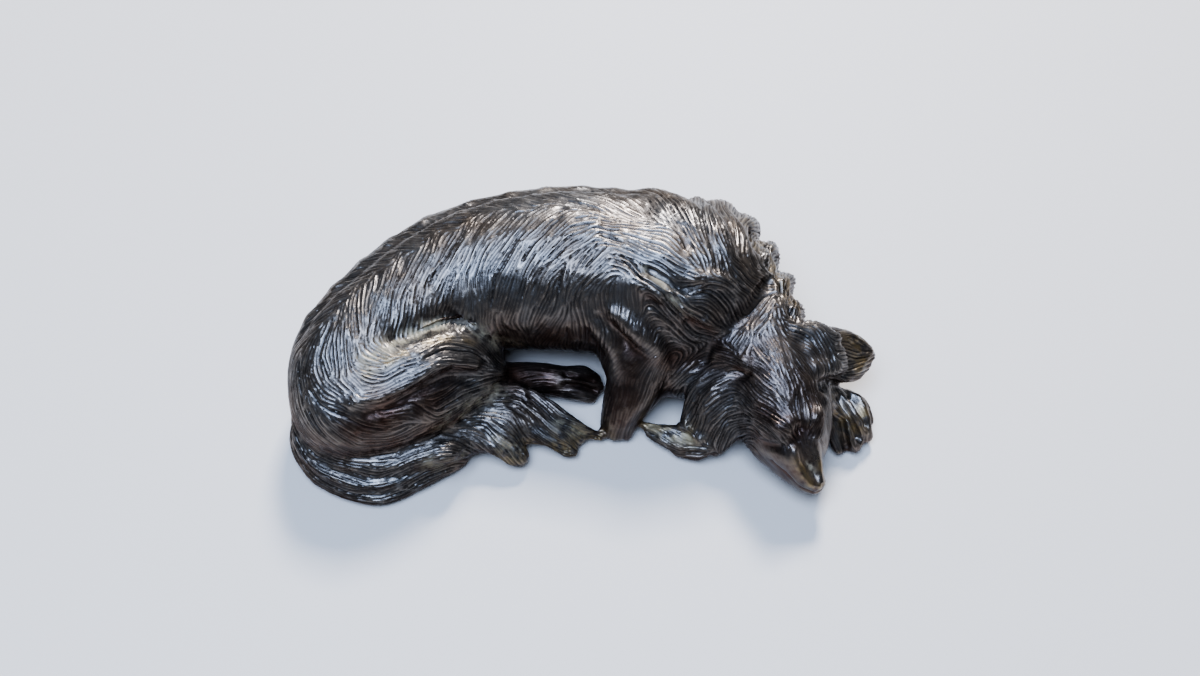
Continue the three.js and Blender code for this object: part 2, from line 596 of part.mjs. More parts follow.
// Collapses the edges that change the form least, until only a wanted number of triangles is left.
class Simplifier {
  constructor(positions, triangles) {
    this.points = [];
    for (let i = 0; i < positions.length; i += 3) {
      this.points.push(Array.from(positions.slice(i, i + 3)));
    }
    this.faces = [];
    this.around = this.points.map(() => new Set());
    for (let i = 0; i < triangles.length; i += 3) {
      const face = [triangles[i], triangles[i + 1], triangles[i + 2]];
      for (const v of face) {
        this.around[v].add(this.faces.length);
      }
      this.faces.push(face);
    }
    this.alive = this.faces.length;
    this.stamp = new Uint32Array(this.points.length);
    this.forms = this.points.map(() => new Array(10).fill(0));
    this.faces.forEach((face) => this.addPlane(face));
    this.queue = new CheapestFirst();
    for (const face of this.faces) {
      for (let n = 0; n < 3; n++) {
        if (face[n] < face[(n + 1) % 3]) this.offer(face[n], face[(n + 1) % 3]);
      }
    }
  }

  // Along the outward side of a triangle, and twice its area long.
  crossOf([a, b, c]) {
    const u = [b[0] - a[0], b[1] - a[1], b[2] - a[2]];
    const v = [c[0] - a[0], c[1] - a[1], c[2] - a[2]];
    return [u[1] * v[2] - u[2] * v[1], u[2] * v[0] - u[0] * v[2], u[0] * v[1] - u[1] * v[0]];
  }

  // Each corner of a triangle remembers the triangle's plane, by its area.
  addPlane(face) {
    const corners = face.map((v) => this.points[v]);
    const cross = this.crossOf(corners);
    const size = Math.hypot(...cross);
    if (size < TINY) return;
    const [a, b, c] = cross.map((v) => v / size);
    const d = -(a * corners[0][0] + b * corners[0][1] + c * corners[0][2]);
    const fine = corners[0][1] < FINE_BELOW_Y || corners[0][0] > FINE_BEYOND_X;
    const plane = planeForm(a, b, c, d, fine ? size * FINE_WEIGHT : size);
    for (const v of face) {
      this.forms[v] = this.forms[v].map((value, n) => value + plane[n]);
    }
  }

  // Works out where an edge would best end up as one point, and what that costs.
  offer(a, b) {
    const form = this.forms[a].map((v, n) => v + this.forms[b][n]);
    const [p, q] = [this.points[a], this.points[b]];
    const length = Math.hypot(p[0] - q[0], p[1] - q[1], p[2] - q[2]);
    const middle = p.map((v, n) => (v + q[n]) / 2);
    const choices = [middle, p, q];
    const best = bestPoint(form);
    if (best && Math.hypot(best[0] - middle[0], best[1] - middle[1], best[2] - middle[2]) < length) {
      choices.unshift(best);
    }
    const onFloor = p[2] === 0 || q[2] === 0;
    let place = null;
    let cost = Infinity;
    for (const choice of choices) {
      if (onFloor !== choice[2] < FLOOR_GAP) continue;
      const error = Math.max(0, formError(form, ...choice));
      if (error < cost) {
        cost = error;
        place = choice;
      }
    }
    if (place === null) return;
    if (onFloor) place = [place[0], place[1], 0];
    cost += EVENNESS * length ** 3;
    this.queue.push({ cost, a, b, place, stamps: this.stamp[a] + this.stamp[b], refusals: 0 });
  }

  neighbours(v) {
    const found = new Set();
    for (const f of this.around[v]) {
      for (const w of this.faces[f]) {
        found.add(w);
      }
    }
    found.delete(v);
    return found;
  }

  // Whether a face turns away from its old side. A sliver has no side that can be trusted.
  turned(before, after) {
    const old = this.crossOf(before);
    const now = this.crossOf(after);
    const size = Math.hypot(...old);
    if (size < SLIVER) return false;
    return old[0] * now[0] + old[1] * now[1] + old[2] * now[2] < MOST_TURN * size * Math.hypot(...now);
  }

  // Twice the area over the square of the longest side: 0.87 for an even triangle, 0 for a needle.
  quality(corners) {
    const squares = corners.map((p, n) => {
      const q = corners[(n + 1) % 3];
      return (p[0] - q[0]) ** 2 + (p[1] - q[1]) ** 2 + (p[2] - q[2]) ** 2;
    });
    return Math.hypot(...this.crossOf(corners)) / Math.max(...squares, TINY);
  }

  // A collapse may not pinch the skin, turn a face over or leave a needle.
  allowed(a, b, place) {
    const near = this.neighbours(a);
    const shared = [...this.neighbours(b)].filter((v) => near.has(v));
    if (shared.length !== 2) return false;
    for (const v of [a, b]) {
      for (const f of this.around[v]) {
        const face = this.faces[f];
        if (face.includes(a) && face.includes(b)) continue;
        const before = face.map((w) => this.points[w]);
        const after = face.map((w) => (w === v ? place : this.points[w]));
        if (this.turned(before, after)) return false;
        if (this.quality(after) < Math.min(NEEDLE, this.quality(before))) return false;
      }
    }
    return true;
  }

  // Draws both ends of an edge together at one place.
  collapse(a, b, place) {
    for (const f of this.around[b]) {
      const face = this.faces[f];
      if (face.includes(a)) {
        for (const v of face.filter((w) => w !== b)) {
          this.around[v].delete(f);
        }
        this.faces[f] = null;
        this.alive--;
      } else {
        face[face.indexOf(b)] = a;
        this.around[a].add(f);
      }
    }
    this.around[b] = new Set();
    this.points[a] = place;
    this.forms[a] = this.forms[a].map((v, n) => v + this.forms[b][n]);
    this.stamp[a]++;
    this.stamp[b] = GONE;
    for (const v of this.neighbours(a)) {
      this.offer(a, v);
    }
  }

  run(target) {
    while (this.alive > target && this.queue.items.length > 0) {
      const offer = this.queue.pop();
      const { a, b, place } = offer;
      if (this.stamp[a] + this.stamp[b] !== offer.stamps) continue;
      if (this.allowed(a, b, place)) {
        this.collapse(a, b, place);
      } else if (offer.refusals < MOST_REFUSALS) {
        offer.refusals++;
        offer.cost = offer.cost * 2 + EVENNESS;
        this.queue.push(offer);
      }
    }
    const left = this.faces.filter((face) => face !== null);
    return left.flatMap((face) => face.flatMap((v) => this.points[v]));
  }
}

// A closed three.js geometry with only position left, as a manifold-3d solid.
function solidOf(wasm, positions, triVerts) {
  return new wasm.Manifold(new wasm.Mesh({
    numProp: 3,
    vertProperties: Float32Array.from(positions),
    triVerts: Uint32Array.from(triVerts),
  }));
}

// Everything above the floor, so that the casting stands on a true flat underside.
function cutAtFloor(wasm, skin) {
  const size = 3 * LENGTH;
  const above = new THREE.BoxGeometry(size, size, size).translate(0, 0, size / 2);
  above.deleteAttribute("normal");
  above.deleteAttribute("uv");
  const box = mergeVertices(above);
  const body = solidOf(wasm, skin.positions, skin.triangles);
  return body.intersect(solidOf(wasm, box.attributes.position.array, box.index.array)).getMesh();
}

function buildDog(wasm) {
  const skin = traceSkin(sampleForms(dogForms()));
  const cut = cutAtFloor(wasm, skin);
  const corners = new Simplifier(cut.vertProperties, cut.triVerts).run(TRIANGLES);
  const geometry = new THREE.BufferGeometry();
  geometry.setAttribute("position", new THREE.Float32BufferAttribute(corners, 3));
  geometry.computeBoundingBox();
  const { min, max } = geometry.boundingBox;
  geometry.translate(-(min.x + max.x) / 2, -(min.y + max.y) / 2, -min.z);
  const unit = LENGTH / (max.x - min.x);
  geometry.scale(unit, unit, unit);
  geometry.computeVertexNormals();
  const bronze = new THREE.MeshStandardMaterial({ color: "#3a2c22", roughness: 0.42, metalness: 0.9 });
  const mesh = new THREE.Mesh(geometry, bronze);
  mesh.name = "dog_casting";
  return mesh;
}

const wasm = await Module();
wasm.setup();
const figurine = new THREE.Group();
figurine.add(buildDog(wasm));

export default figurine;
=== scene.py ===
# %% [markdown]
# A small cast bronze of a long-haired dog, curled up asleep. The solid casting comes from the packed
# model. This notebook gives it what a sculptor cuts into the wax and a chaser into the metal: locks and
# strands of hair, closed eyes, nostrils, a mouth. Then it gets its dark brown patina, a floor, soft
# light and a camera.

import bpy
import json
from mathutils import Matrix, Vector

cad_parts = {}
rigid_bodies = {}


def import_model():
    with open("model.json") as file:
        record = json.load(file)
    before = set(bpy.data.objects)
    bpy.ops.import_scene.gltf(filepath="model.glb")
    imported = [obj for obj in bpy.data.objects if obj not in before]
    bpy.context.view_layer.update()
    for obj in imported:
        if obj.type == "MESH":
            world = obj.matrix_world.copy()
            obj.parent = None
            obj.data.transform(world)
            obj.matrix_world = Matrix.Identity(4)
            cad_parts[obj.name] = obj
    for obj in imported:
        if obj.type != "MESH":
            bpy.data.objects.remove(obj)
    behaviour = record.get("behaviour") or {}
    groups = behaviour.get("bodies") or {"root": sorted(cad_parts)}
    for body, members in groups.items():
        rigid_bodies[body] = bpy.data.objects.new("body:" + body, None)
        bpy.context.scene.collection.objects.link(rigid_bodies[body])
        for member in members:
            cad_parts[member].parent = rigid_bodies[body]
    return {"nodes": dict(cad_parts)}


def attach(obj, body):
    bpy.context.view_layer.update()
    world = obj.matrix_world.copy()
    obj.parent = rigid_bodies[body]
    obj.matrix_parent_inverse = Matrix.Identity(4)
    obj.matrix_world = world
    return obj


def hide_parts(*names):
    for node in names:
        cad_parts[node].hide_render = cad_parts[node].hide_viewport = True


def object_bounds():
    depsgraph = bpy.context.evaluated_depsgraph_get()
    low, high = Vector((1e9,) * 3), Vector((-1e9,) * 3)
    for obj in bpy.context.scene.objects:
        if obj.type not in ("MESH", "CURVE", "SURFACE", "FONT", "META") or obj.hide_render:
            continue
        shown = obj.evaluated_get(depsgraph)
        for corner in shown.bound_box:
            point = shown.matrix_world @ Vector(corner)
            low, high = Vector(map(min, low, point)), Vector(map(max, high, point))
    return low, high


MM = 0.001  # Blender works in metres, and this notebook's sizes are in millimetres

for leftover in list(bpy.data.objects):
    bpy.data.objects.remove(leftover)
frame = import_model()
cad_low, cad_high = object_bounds()
print("casting, mm:", [round((b - a) / MM, 1) for a, b in zip(cad_low, cad_high)])

# %% Tools
import json
import math
import random

import numpy as np
from mathutils import Vector, kdtree, noise

SEED = 7  # the same strands come out on each run
rng = random.Random(SEED)

# %% [markdown]
# The casting has nearly ten thousand flat triangles. A sculptor's surface has none, so the first step
# turns it into an even skin of small squares with a voxel remesh, and relaxes it until the edges
# between the old triangles are gone. Subdividing the triangles would keep their pattern instead.

# %% Reading and changing a mesh
def apply_modifier(piece, kind, **settings):
    modifier = piece.modifiers.new(kind.title(), kind)
    for name, value in settings.items():
        setattr(modifier, name, value)
    graph = bpy.context.evaluated_depsgraph_get()
    mesh = bpy.data.meshes.new_from_object(piece.evaluated_get(graph))
    piece.modifiers.clear()
    piece.data = mesh


def points_of(mesh):
    points = np.empty(len(mesh.vertices) * 3)
    mesh.vertices.foreach_get("co", points)
    return points.reshape(-1, 3)


def normals_of(mesh):
    normals = np.empty(len(mesh.vertices) * 3, np.float32)
    mesh.vertex_normals.foreach_get("vector", normals)
    return normals.reshape(-1, 3).astype(float)


def edges_of(mesh):
    ends = np.empty(len(mesh.edges) * 2, np.int64)
    mesh.edges.foreach_get("vertices", ends)
    return ends.reshape(-1, 2)


def put_points(mesh, points):
    mesh.vertices.foreach_set("co", points.astype(np.float32).ravel())
    mesh.update()


# %% Relaxing: each point moves half of the way to the middle of its neighbours
def relax(values, ends, steps):
    count = len(values)
    degree = np.bincount(ends.ravel(), minlength=count)[:, None]
    for _ in range(steps):
        total = np.empty_like(values)
        for axis in range(values.shape[1]):
            column = values[:, axis]
            total[:, axis] = np.bincount(ends[:, 0], column[ends[:, 1]], count)
            total[:, axis] += np.bincount(ends[:, 1], column[ends[:, 0]], count)
        values = (values + total / degree) / 2
    return values


# %% An even, smooth skin
SAME_POINT = 0.001  # mm, points closer than this are one
SKIN_CELL = 0.36  # mm, the squares of the skin
RELAX_STEPS = 7  # each spreads a corner over about half a cell
FOOT = 0.05  # mm, what is lower than this is the foot that stands on the floor


def on_the_floor(points):
    points[foot, 2] = 0
    points[:, 2] = np.maximum(points[:, 2], 0)


casting = frame["nodes"]["dog_casting"]
dog = bpy.data.objects.new("dog_figurine", casting.data.copy())
bpy.context.scene.collection.objects.link(dog)
apply_modifier(dog, "WELD", merge_threshold=SAME_POINT * MM)
apply_modifier(dog, "REMESH", mode="VOXEL", voxel_size=SKIN_CELL * MM, use_smooth_shade=True)
skin = points_of(dog.data) / MM
foot = skin[:, 2] < FOOT
links = edges_of(dog.data)
smooth = relax(skin, links, RELAX_STEPS)
on_the_floor(smooth)
put_points(dog.data, smooth * MM)
print("skin:", len(skin), "points")

# %% [markdown]
# Then the form is worked over, as a sculptor does with a spatula before the hair goes in. A
# stroke is a short line on the skin with a width: along it the skin is softened, raised or pressed in,
# most on the line and less to both sides. Sculpt mode does this with a brush and a mouse. Here each
# stroke is written down, so that the notebook makes the same dog each time. Places, widths and rises
# are in millimetres, and a share of 1 softens fully.

# %% Where the form is softened
SOFTEN = [
    {"where": "tufts along the spine", "width": 9.5, "share": 0.88, "stroke": [
        (-56, -10, 21), (-52, -6, 26), (-47, 1, 27.5), (-42, 5, 28.5), (-36, 9.5, 29.5), (-29, 13, 31),
        (-20, 17, 32.5), (-10, 19, 33.5), (0, 20, 34)]},
    {"where": "fold above the thigh", "width": 4.5, "share": 0.9, "stroke": [
        (-38, -7, 24), (-34, -4, 24), (-30, -1.5, 22), (-26, 0.5, 21), (-22, -0.5, 22)]},
    {"where": "end of that fold", "width": 3, "share": 0.85, "stroke": [(-23, -1, 22), (-19, -3, 20)]},
    {"where": "dip of the shoulder", "width": 4, "share": 0.8, "stroke": [
        (11, 5, 33), (16, 2.5, 31), (21, 0, 30)]},
    {"where": "bridge of the muzzle", "width": 3.5, "share": 0.85, "stroke": [
        (41.5, -20.5, 15), (43, -24, 12.5), (44.5, -28, 10)]},
    {"where": "fold between shoulder and neck", "width": 2.6, "share": 0.55, "stroke": [
        (36.5, 6.5, 23.5), (32.5, 1, 24), (29.5, -2.5, 22)]},
    {"where": "root of the near ear", "width": 2.4, "share": 0.9, "stroke": [
        (30.5, -9, 20), (32.5, -10.7, 19.5), (34, -12, 20)]},
]
SOFT_STEPS = 140  # how often the softened form is relaxed

# %% Where the body is raised or pressed in
FORMS = [
    {"where": "lip of the thigh", "width": 1.3, "rise": 1, "strokes": [
        [(-43.5, -19.5, 22), (-39, -18.5, 22), (-34, -16, 22.5), (-29.5, -12.5, 23), (-25.5, -10.5, 22),
         (-21.5, -9, 18.5)]]},
    {"where": "below the lip", "width": 1.2, "rise": -0.6, "strokes": [
        [(-41, -21, 20), (-36, -19.5, 20.5), (-30.5, -15.5, 20.5), (-26, -12.5, 19.5), (-22.5, -11, 16)]]},
    {"where": "filled fold above the thigh", "width": 3, "rise": 1.6, "strokes": [
        [(-31, -2, 22), (-26, 0.5, 21), (-23, 0, 21.5)]]},
    {"where": "furrows of the shoulder", "width": 0.9, "rise": -0.7, "strokes": [
        [(12.5, 3.5, 32.5), (16, 2, 30.5), (19.5, 0.5, 30)],
        [(16.5, -1.5, 30), (19.5, -3, 28), (23, -3.5, 26.5)]]},
    {"where": "tufts of the shoulder", "width": 1.3, "rise": 0.7, "strokes": [
        [(11.5, 1.5, 32), (14, -0.5, 31), (16.5, -1.5, 27), (19, -2.5, 25)],
        [(21.5, 2.5, 32), (25.5, 2.5, 31.5), (29, 2.5, 29.5)]]},
    {"where": "between the locks of the mane", "width": 0.9, "rise": -0.9, "strokes": [
        [(33.5, 19.5, 23.5), (34.5, 13, 26.5), (36.5, 9.5, 25.5)],
        [(37, 16.5, 21.5), (37.5, 9, 25)],
        [(40.5, 19, 15.5), (38.5, 7.5, 24.5), (39.5, 4, 23.5)],
        [(41.5, 6.5, 21), (40, 1, 23), (42, -1, 22.5)]]},
    {"where": "locks of the mane", "width": 1.4, "rise": 0.9, "strokes": [
        [(31, 16, 27), (33.5, 22, 22), (34, 26, 16)],
        [(35.5, 11, 26), (38, 17, 21), (39, 22, 15)],
        [(38.5, 6, 25), (42, 11, 19), (43, 15, 13)],
        [(40.5, 1, 24), (44, 6, 18), (46, 9, 12)]]},
    {"where": "first tip of the tail", "width": 2.6, "rise": 1.1, "strokes": [
        [(-17, -20, 5), (-13.5, -21.5, 3)]]},
    {"where": "between the locks of the tail", "width": 0.8, "rise": -0.7, "strokes": [
        [(-54.5, -24, 7), (-48.5, -27, 7), (-42.5, -28.5, 6.5), (-37, -28, 6.5), (-31.5, -26.5, 5.5)],
        [(-24, -17, 10), (-20, -18.5, 8), (-17.5, -21, 5.5)],
        [(-15, -13, 9.5), (-11, -15.5, 8), (-7.5, -18, 6), (-4, -20, 3.5)],
        [(-11, -11, 9), (-7, -14.5, 7.5), (-2.5, -16.5, 5.5), (2, -17, 3)]]},
    {"where": "curl in the tail", "width": 1.5, "rise": 1.1, "strokes": [
        [(-28.5, -24, 8.5), (-26.5, -23.5, 8)]]},
]

# %% Where the paws, the ears and the face are raised or pressed in
FORMS += [
    {"where": "between the toes", "width": 0.8, "rise": -1.3, "strokes": [
        [(48.5, -15, 10), (51.5, -16, 7.5), (53, -19.5, 2.5)],
        [(51.5, -11.5, 9), (53.5, -15, 8), (55.5, -18, 4)],
        [(54, -10.5, 7.5), (55.5, -13, 7), (57, -15.5, 5)]]},
    {"where": "rim of the far ear", "width": 0.9, "rise": 0.6, "strokes": [
        [(50, -3, 19.5), (54, 0, 14.5), (58.5, -1.5, 11), (56, -5.5, 11.5), (52, -8.5, 11.5)]]},
    {"where": "rim of the near ear", "width": 0.7, "rise": 0.4, "strokes": [
        [(13, -13, 3), (16.5, -14, 4.5), (20, -16.5, 6.5), (23, -19.5, 6.5)],
        [(15, -17.5, 3.5), (19.5, -20, 4), (23, -20.5, 4.5)]]},
    {"where": "filled hollow at the root of the bridge", "width": 1.6, "rise": 1, "strokes": [
        [(42, -21.5, 14.5), (43, -24, 12.5)]]},
    {"where": "brow, down to the bridge", "width": 1.8, "rise": 0.8, "strokes": [
        [(38, -22.5, 17), (40, -23, 15.5), (41.7, -23, 14)],
        [(45.3, -21.5, 16), (44.5, -22.5, 15), (43, -23.3, 13.7)]]},
    {"where": "filled hollow at the root of the near ear", "width": 1.3, "rise": 1.1, "strokes": [
        [(31.2, -9.3, 19.3), (32.4, -10.5, 19.3)]]},
    {"where": "near side of the muzzle", "width": 2, "rise": 0.6, "strokes": [
        [(39.8, -27, 12), (42, -29.3, 9.5)]]},
    {"where": "between the toes of the hind paw", "width": 0.6, "rise": -0.9, "strokes": [
        [(-4, -4.5, 7), (-1, -4.5, 6.5), (2, -4.5, 4.5)],
        [(-4, -6.5, 6), (-1, -6.5, 5.5), (2, -6.5, 3.5)]]},
    {"where": "toes", "width": 0.9, "rise": 0.5, "strokes": [
        [(50, -13.5, 9.5), (52.5, -17, 6), (54, -19, 3)],
        [(53, -12, 8.5), (55, -15, 6.5), (56.5, -17, 4)],
        [(55.5, -10, 7), (57, -13, 6), (57.5, -15, 4.5)]]},
    {"where": "brow over the closed eyes", "width": 1.3, "rise": 0.6, "strokes": [
        [(36.5, -22, 17.5), (39, -22, 17.5), (41, -20, 17)],
        [(43.5, -20.5, 17), (45.5, -19.5, 17.5)]]},
    {"where": "stop below the brow", "width": 0.8, "rise": -0.3, "strokes": [
        [(41.3, -24.4, 13), (42.3, -24.3, 12.7), (43.3, -24.2, 13)]]},
    {"where": "lids", "width": 0.9, "rise": 0.5, "strokes": [
        [(38.3, -24.3, 15), (39.8, -24.5, 14.3)],
        [(44.6, -23.3, 14.3), (45.6, -22.5, 14.5)]]},
    {"where": "rim of the muzzle", "width": 0.9, "rise": 0.6, "strokes": [
        [(40.3, -26, 14.2), (41.3, -27.5, 12), (42.4, -28.8, 10.5), (43.8, -30.3, 8.7), (45.3, -30.8, 8.3),
         (46.5, -29.8, 9.2), (45.9, -28.3, 10.5), (45, -26.5, 12), (44, -24.8, 13)]]},
    {"where": "along the middle of the bridge", "width": 0.7, "rise": -0.6, "strokes": [
        [(42.3, -25.2, 12.5), (43.2, -26.8, 11), (44, -28, 10), (44.6, -29, 10)]]},
]

# %% Where it is settled at the end, so that no fold is left where strokes meet
SETTLE = [
    {"where": "below the brow, where the strokes meet", "width": 2.2, "share": 1, "stroke": [
        (41, -22.5, 15), (42.3, -24, 13.5), (43.3, -26, 12)]},
]
SETTLE_STEPS = 60

# %% Working the strokes in
FINENESS = 3  # points along a stroke for each of its widths
REACH = 2.5  # widths, and farther away than this a stroke does nothing


def finer(stroke, step):
    corners = [Vector(p) for p in stroke]
    places = [corners[0]]
    for start, end in zip(corners, corners[1:]):
        pieces = max(1, round((end - start).length / step))
        places += [start.lerp(end, (i + 1) / pieces) for i in range(pieces)]
    return np.array([tuple(p) for p in places])


def pull_of(points, stroke, width):
    path = finer(stroke, width / FINENESS)
    low, high = path.min(0) - REACH * width, path.max(0) + REACH * width
    near = np.nonzero(((points > low) & (points < high)).all(1))[0]
    gap = ((points[near, None] - path[None]) ** 2).sum(2).min(1)
    pull = np.zeros(len(points))
    pull[near] = np.exp(-gap / width ** 2)
    return pull


def soften(points, spots, steps):
    softer = relax(points, links, steps)
    softer[foot, 2] = 0
    softened = points
    for spot in spots:
        pull = pull_of(points, spot["stroke"], spot["width"])[:, None] * spot["share"]
        softened = softened + (softer - softened) * pull
    return softened


shaped = soften(smooth, SOFTEN, SOFT_STEPS)
sides = normals_of(dog.data)
for form in FORMS:
    pull = np.max([pull_of(shaped, stroke, form["width"]) for stroke in form["strokes"]], axis=0)
    shaped = shaped + sides * pull[:, None] * form["rise"]
shaped = soften(shaped, SETTLE, SETTLE_STEPS)
on_the_floor(shaped)
put_points(dog.data, shaped * MM)
print("form moved by up to, mm:", round(np.sqrt(((shaped - smooth) ** 2).sum(1)).max(), 2))

# %% [markdown]
# The hair of a modelled animal is drawn before it is cut: a sculptor sketches which way each tuft
# lies, then follows the sketch with a pointed tool. COMB is that sketch. Each stroke runs from a
# tuft's root to its tip, in millimetres on the casting. Between strokes the hair turns smoothly, and
# along the spine, where strokes point away from each other, it parts by itself. The depth says how
# strongly a tuft is cut, and the pitch how far apart its strands lie, in millimetres.

# %% Which way the hair lies on the back and the belly
COMB = [
    {"where": "near side of the back", "depth": 1, "pitch": 0.95, "strokes": [
        [(-23, 15, 31), (-25, 11, 31), (-28, 5, 28), (-30, 0, 26)],
        [(-15, 17, 33), (-19, 12, 32), (-22, 5, 29), (-22, 2, 27)],
        [(-9, 16, 34), (-14, 11, 33), (-18, 5, 30), (-19, 1, 26)],
        [(-3, 14, 35), (-9, 9, 33), (-13, 4, 30), (-15, 1, 26)],
        [(2, 11, 34), (-3, 7, 33), (-7, 3, 30), (-9, 0, 26)],
        [(5, 8, 34), (1, 5, 32), (-3, 1, 29), (-4, -1, 25)],
        [(-30, 13, 30), (-32, 8, 30), (-35, 0, 28)],
    ]},
    {"where": "belly", "depth": 0.75, "pitch": 1, "strokes": [
        [(-30, 2, 28), (-30, -2, 24), (-28, -6, 23)],
        [(-24, 1, 26), (-25, 0, 21), (-27, -5, 22)],
        [(-21, 1, 25), (-21, -1, 21), (-19, -2, 15)],
        [(-18, 1, 25), (-18, -1, 21), (-16, -2, 12)],
        [(-12, 1, 26), (-14, -1, 21), (-12, -2, 14)],
        [(-5, 1, 28), (-6, -1, 24), (-9, -2, 16)],
        [(-1, 0, 26), (0, -2, 22), (0, -3, 14)],
        [(3, -1, 27), (4, -3, 22), (3, -5, 18)],
        [(8, 1, 31), (9, -2, 27), (8, -5, 24)],
    ]},
    {"where": "far side of the back", "depth": 0.9, "pitch": 1.05, "strokes": [
        [(9, 14, 34), (4, 17, 34), (-1, 20, 34), (-6, 23, 31)],
        [(16, 14, 34), (12, 20, 33), (6, 25, 29)],
        [(-12, 19, 33), (-17, 21, 31), (-23, 23, 28)],
        [(-25, 16, 31), (-31, 17, 29), (-36, 18, 26)],
        [(-33, 12, 30), (-39, 14, 27), (-44, 14, 23)],
        [(-38, 8, 29), (-45, 9, 26), (-50, 8, 21)],
        [(-43, 5, 28), (-50, 4, 25), (-54, 2, 20)],
        [(-47, 1, 27), (-53, -1, 24), (-57, -4, 19)],
        [(-49, -3, 27), (-55, -5, 23), (-58, -9, 17)],
    ]},
    {"where": "hidden side, plainer", "depth": 0.7, "pitch": 1.35, "strokes": [
        [(-6, 27, 28), (-10, 31, 18), (-14, 30, 6)],
        [(-28, 21, 27), (-36, 24, 17), (-41, 23, 5)],
        [(-44, 13, 24), (-51, 13, 15), (-55, 9, 5)],
        [(-56, -2, 21), (-60, -8, 13), (-60, -13, 5)],
        [(15, 26, 27), (12, 30, 18), (8, 29, 6)],
        [(33, 24, 15), (31, 24, 9), (28, 22, 3)],
        [(43, 6, 15), (42, 8, 9), (40, 9, 3)],
        [(50, -4, 10), (48, -4, 6), (46, -6, 3)],
    ]},
]

# %% Which way the hair lies on the hindquarters and the tail
COMB += [
    {"where": "rump", "depth": 1, "pitch": 0.9, "strokes": [
        [(-30, 11, 30), (-31, 7, 30), (-33, 3, 28), (-33, -1, 27)],
        [(-37, 9, 29), (-38, 3, 29), (-39, -4, 27)],
        [(-40, 5, 28), (-41, 0, 28), (-41, -7, 27)],
        [(-44, 3, 28), (-44, -3, 28), (-43, -11, 26)],
        [(-47, -1, 27), (-47, -8, 27), (-46, -15, 25)],
        [(-49, -4, 27), (-50, -11, 25), (-49, -16, 24), (-45, -19, 22)],
        [(-52, -9, 25), (-53, -14, 23), (-50, -19, 22), (-46, -21, 21)],
    ]},
    {"where": "hollow above the thigh", "depth": 1, "pitch": 0.95, "strokes": [
        [(-37, -4, 27), (-38, -7, 26), (-36, -10, 26)],
        [(-41, -10, 26), (-38, -12, 26)],
        [(-31, -1, 26), (-31, -4, 23), (-30, -7, 24)],
        [(-27, 2, 27), (-28, -1, 24), (-29, -5, 23)],
    ]},
    {"where": "front edge of the thigh", "depth": 0.9, "pitch": 0.9, "strokes": [
        [(-44, -16, 24), (-42, -18, 23), (-37, -17, 23), (-33, -15, 23), (-28, -12, 23), (-23, -9, 20)],
        [(-41, -14, 25), (-38, -15, 25), (-32, -11, 25), (-27, -7, 24), (-22, -6, 22)],
        [(-27, -7, 24), (-23, -5, 22), (-18, -6, 17)],
        [(-36, -18, 21), (-31, -15, 21), (-27, -12, 21), (-22, -10, 17)],
        [(-27, -17, 17), (-24, -14, 16), (-19, -11, 13)],
    ]},
    {"where": "haunch", "depth": 0.7, "pitch": 0.95, "strokes": [
        [(-54, -18, 20), (-52, -22, 17), (-46, -25, 12)],
        [(-51, -20, 20), (-48, -23, 18), (-44, -25, 14), (-38, -24, 12), (-30, -20, 13)],
        [(-42, -20, 21), (-38, -21, 20), (-33, -19, 19), (-30, -19, 15)],
    ]},
    {"where": "tail", "depth": 1.1, "pitch": 0.9, "strokes": [
        [(-57, -14, 5), (-58, -19, 4), (-53, -26, 4), (-46, -30, 4), (-40, -30, 4), (-34, -28, 5),
         (-29, -26, 5)],
        [(-57, -18, 8), (-53, -24, 8), (-46, -27, 8), (-40, -28, 8), (-35, -26, 9), (-29, -23, 9),
         (-24, -22, 6)],
        [(-43, -25, 9), (-37, -24, 9), (-32, -22, 10), (-28, -19, 10), (-24, -19, 8), (-20, -21, 4)],
        [(-29, -20, 12), (-25, -17, 12), (-21, -14, 12), (-15, -11, 10)],
        [(-28, -19, 12), (-23, -15, 12), (-19, -12, 11), (-13, -12, 9), (-8, -15, 7), (-2, -18, 4)],
        [(-19, -11, 11), (-14, -10, 10), (-10, -12, 9), (-5, -15, 7), (3, -16, 3)],
        [(-25, -18, 9), (-20, -18, 9), (-17, -20, 6), (-14, -22, 3)],
        [(-12, -16, 8), (-10, -18, 6), (-7, -20, 4), (-3, -21, 3)],
    ]},
    {"where": "hind paw", "depth": 0.6, "pitch": 0.8, "strokes": [
        [(-16, -7, 11), (-10, -5, 8), (-5, -5, 7), (1, -5, 5)],
        [(-9, -7, 5), (-4, -7, 5), (0, -7, 4)],
    ]},
]

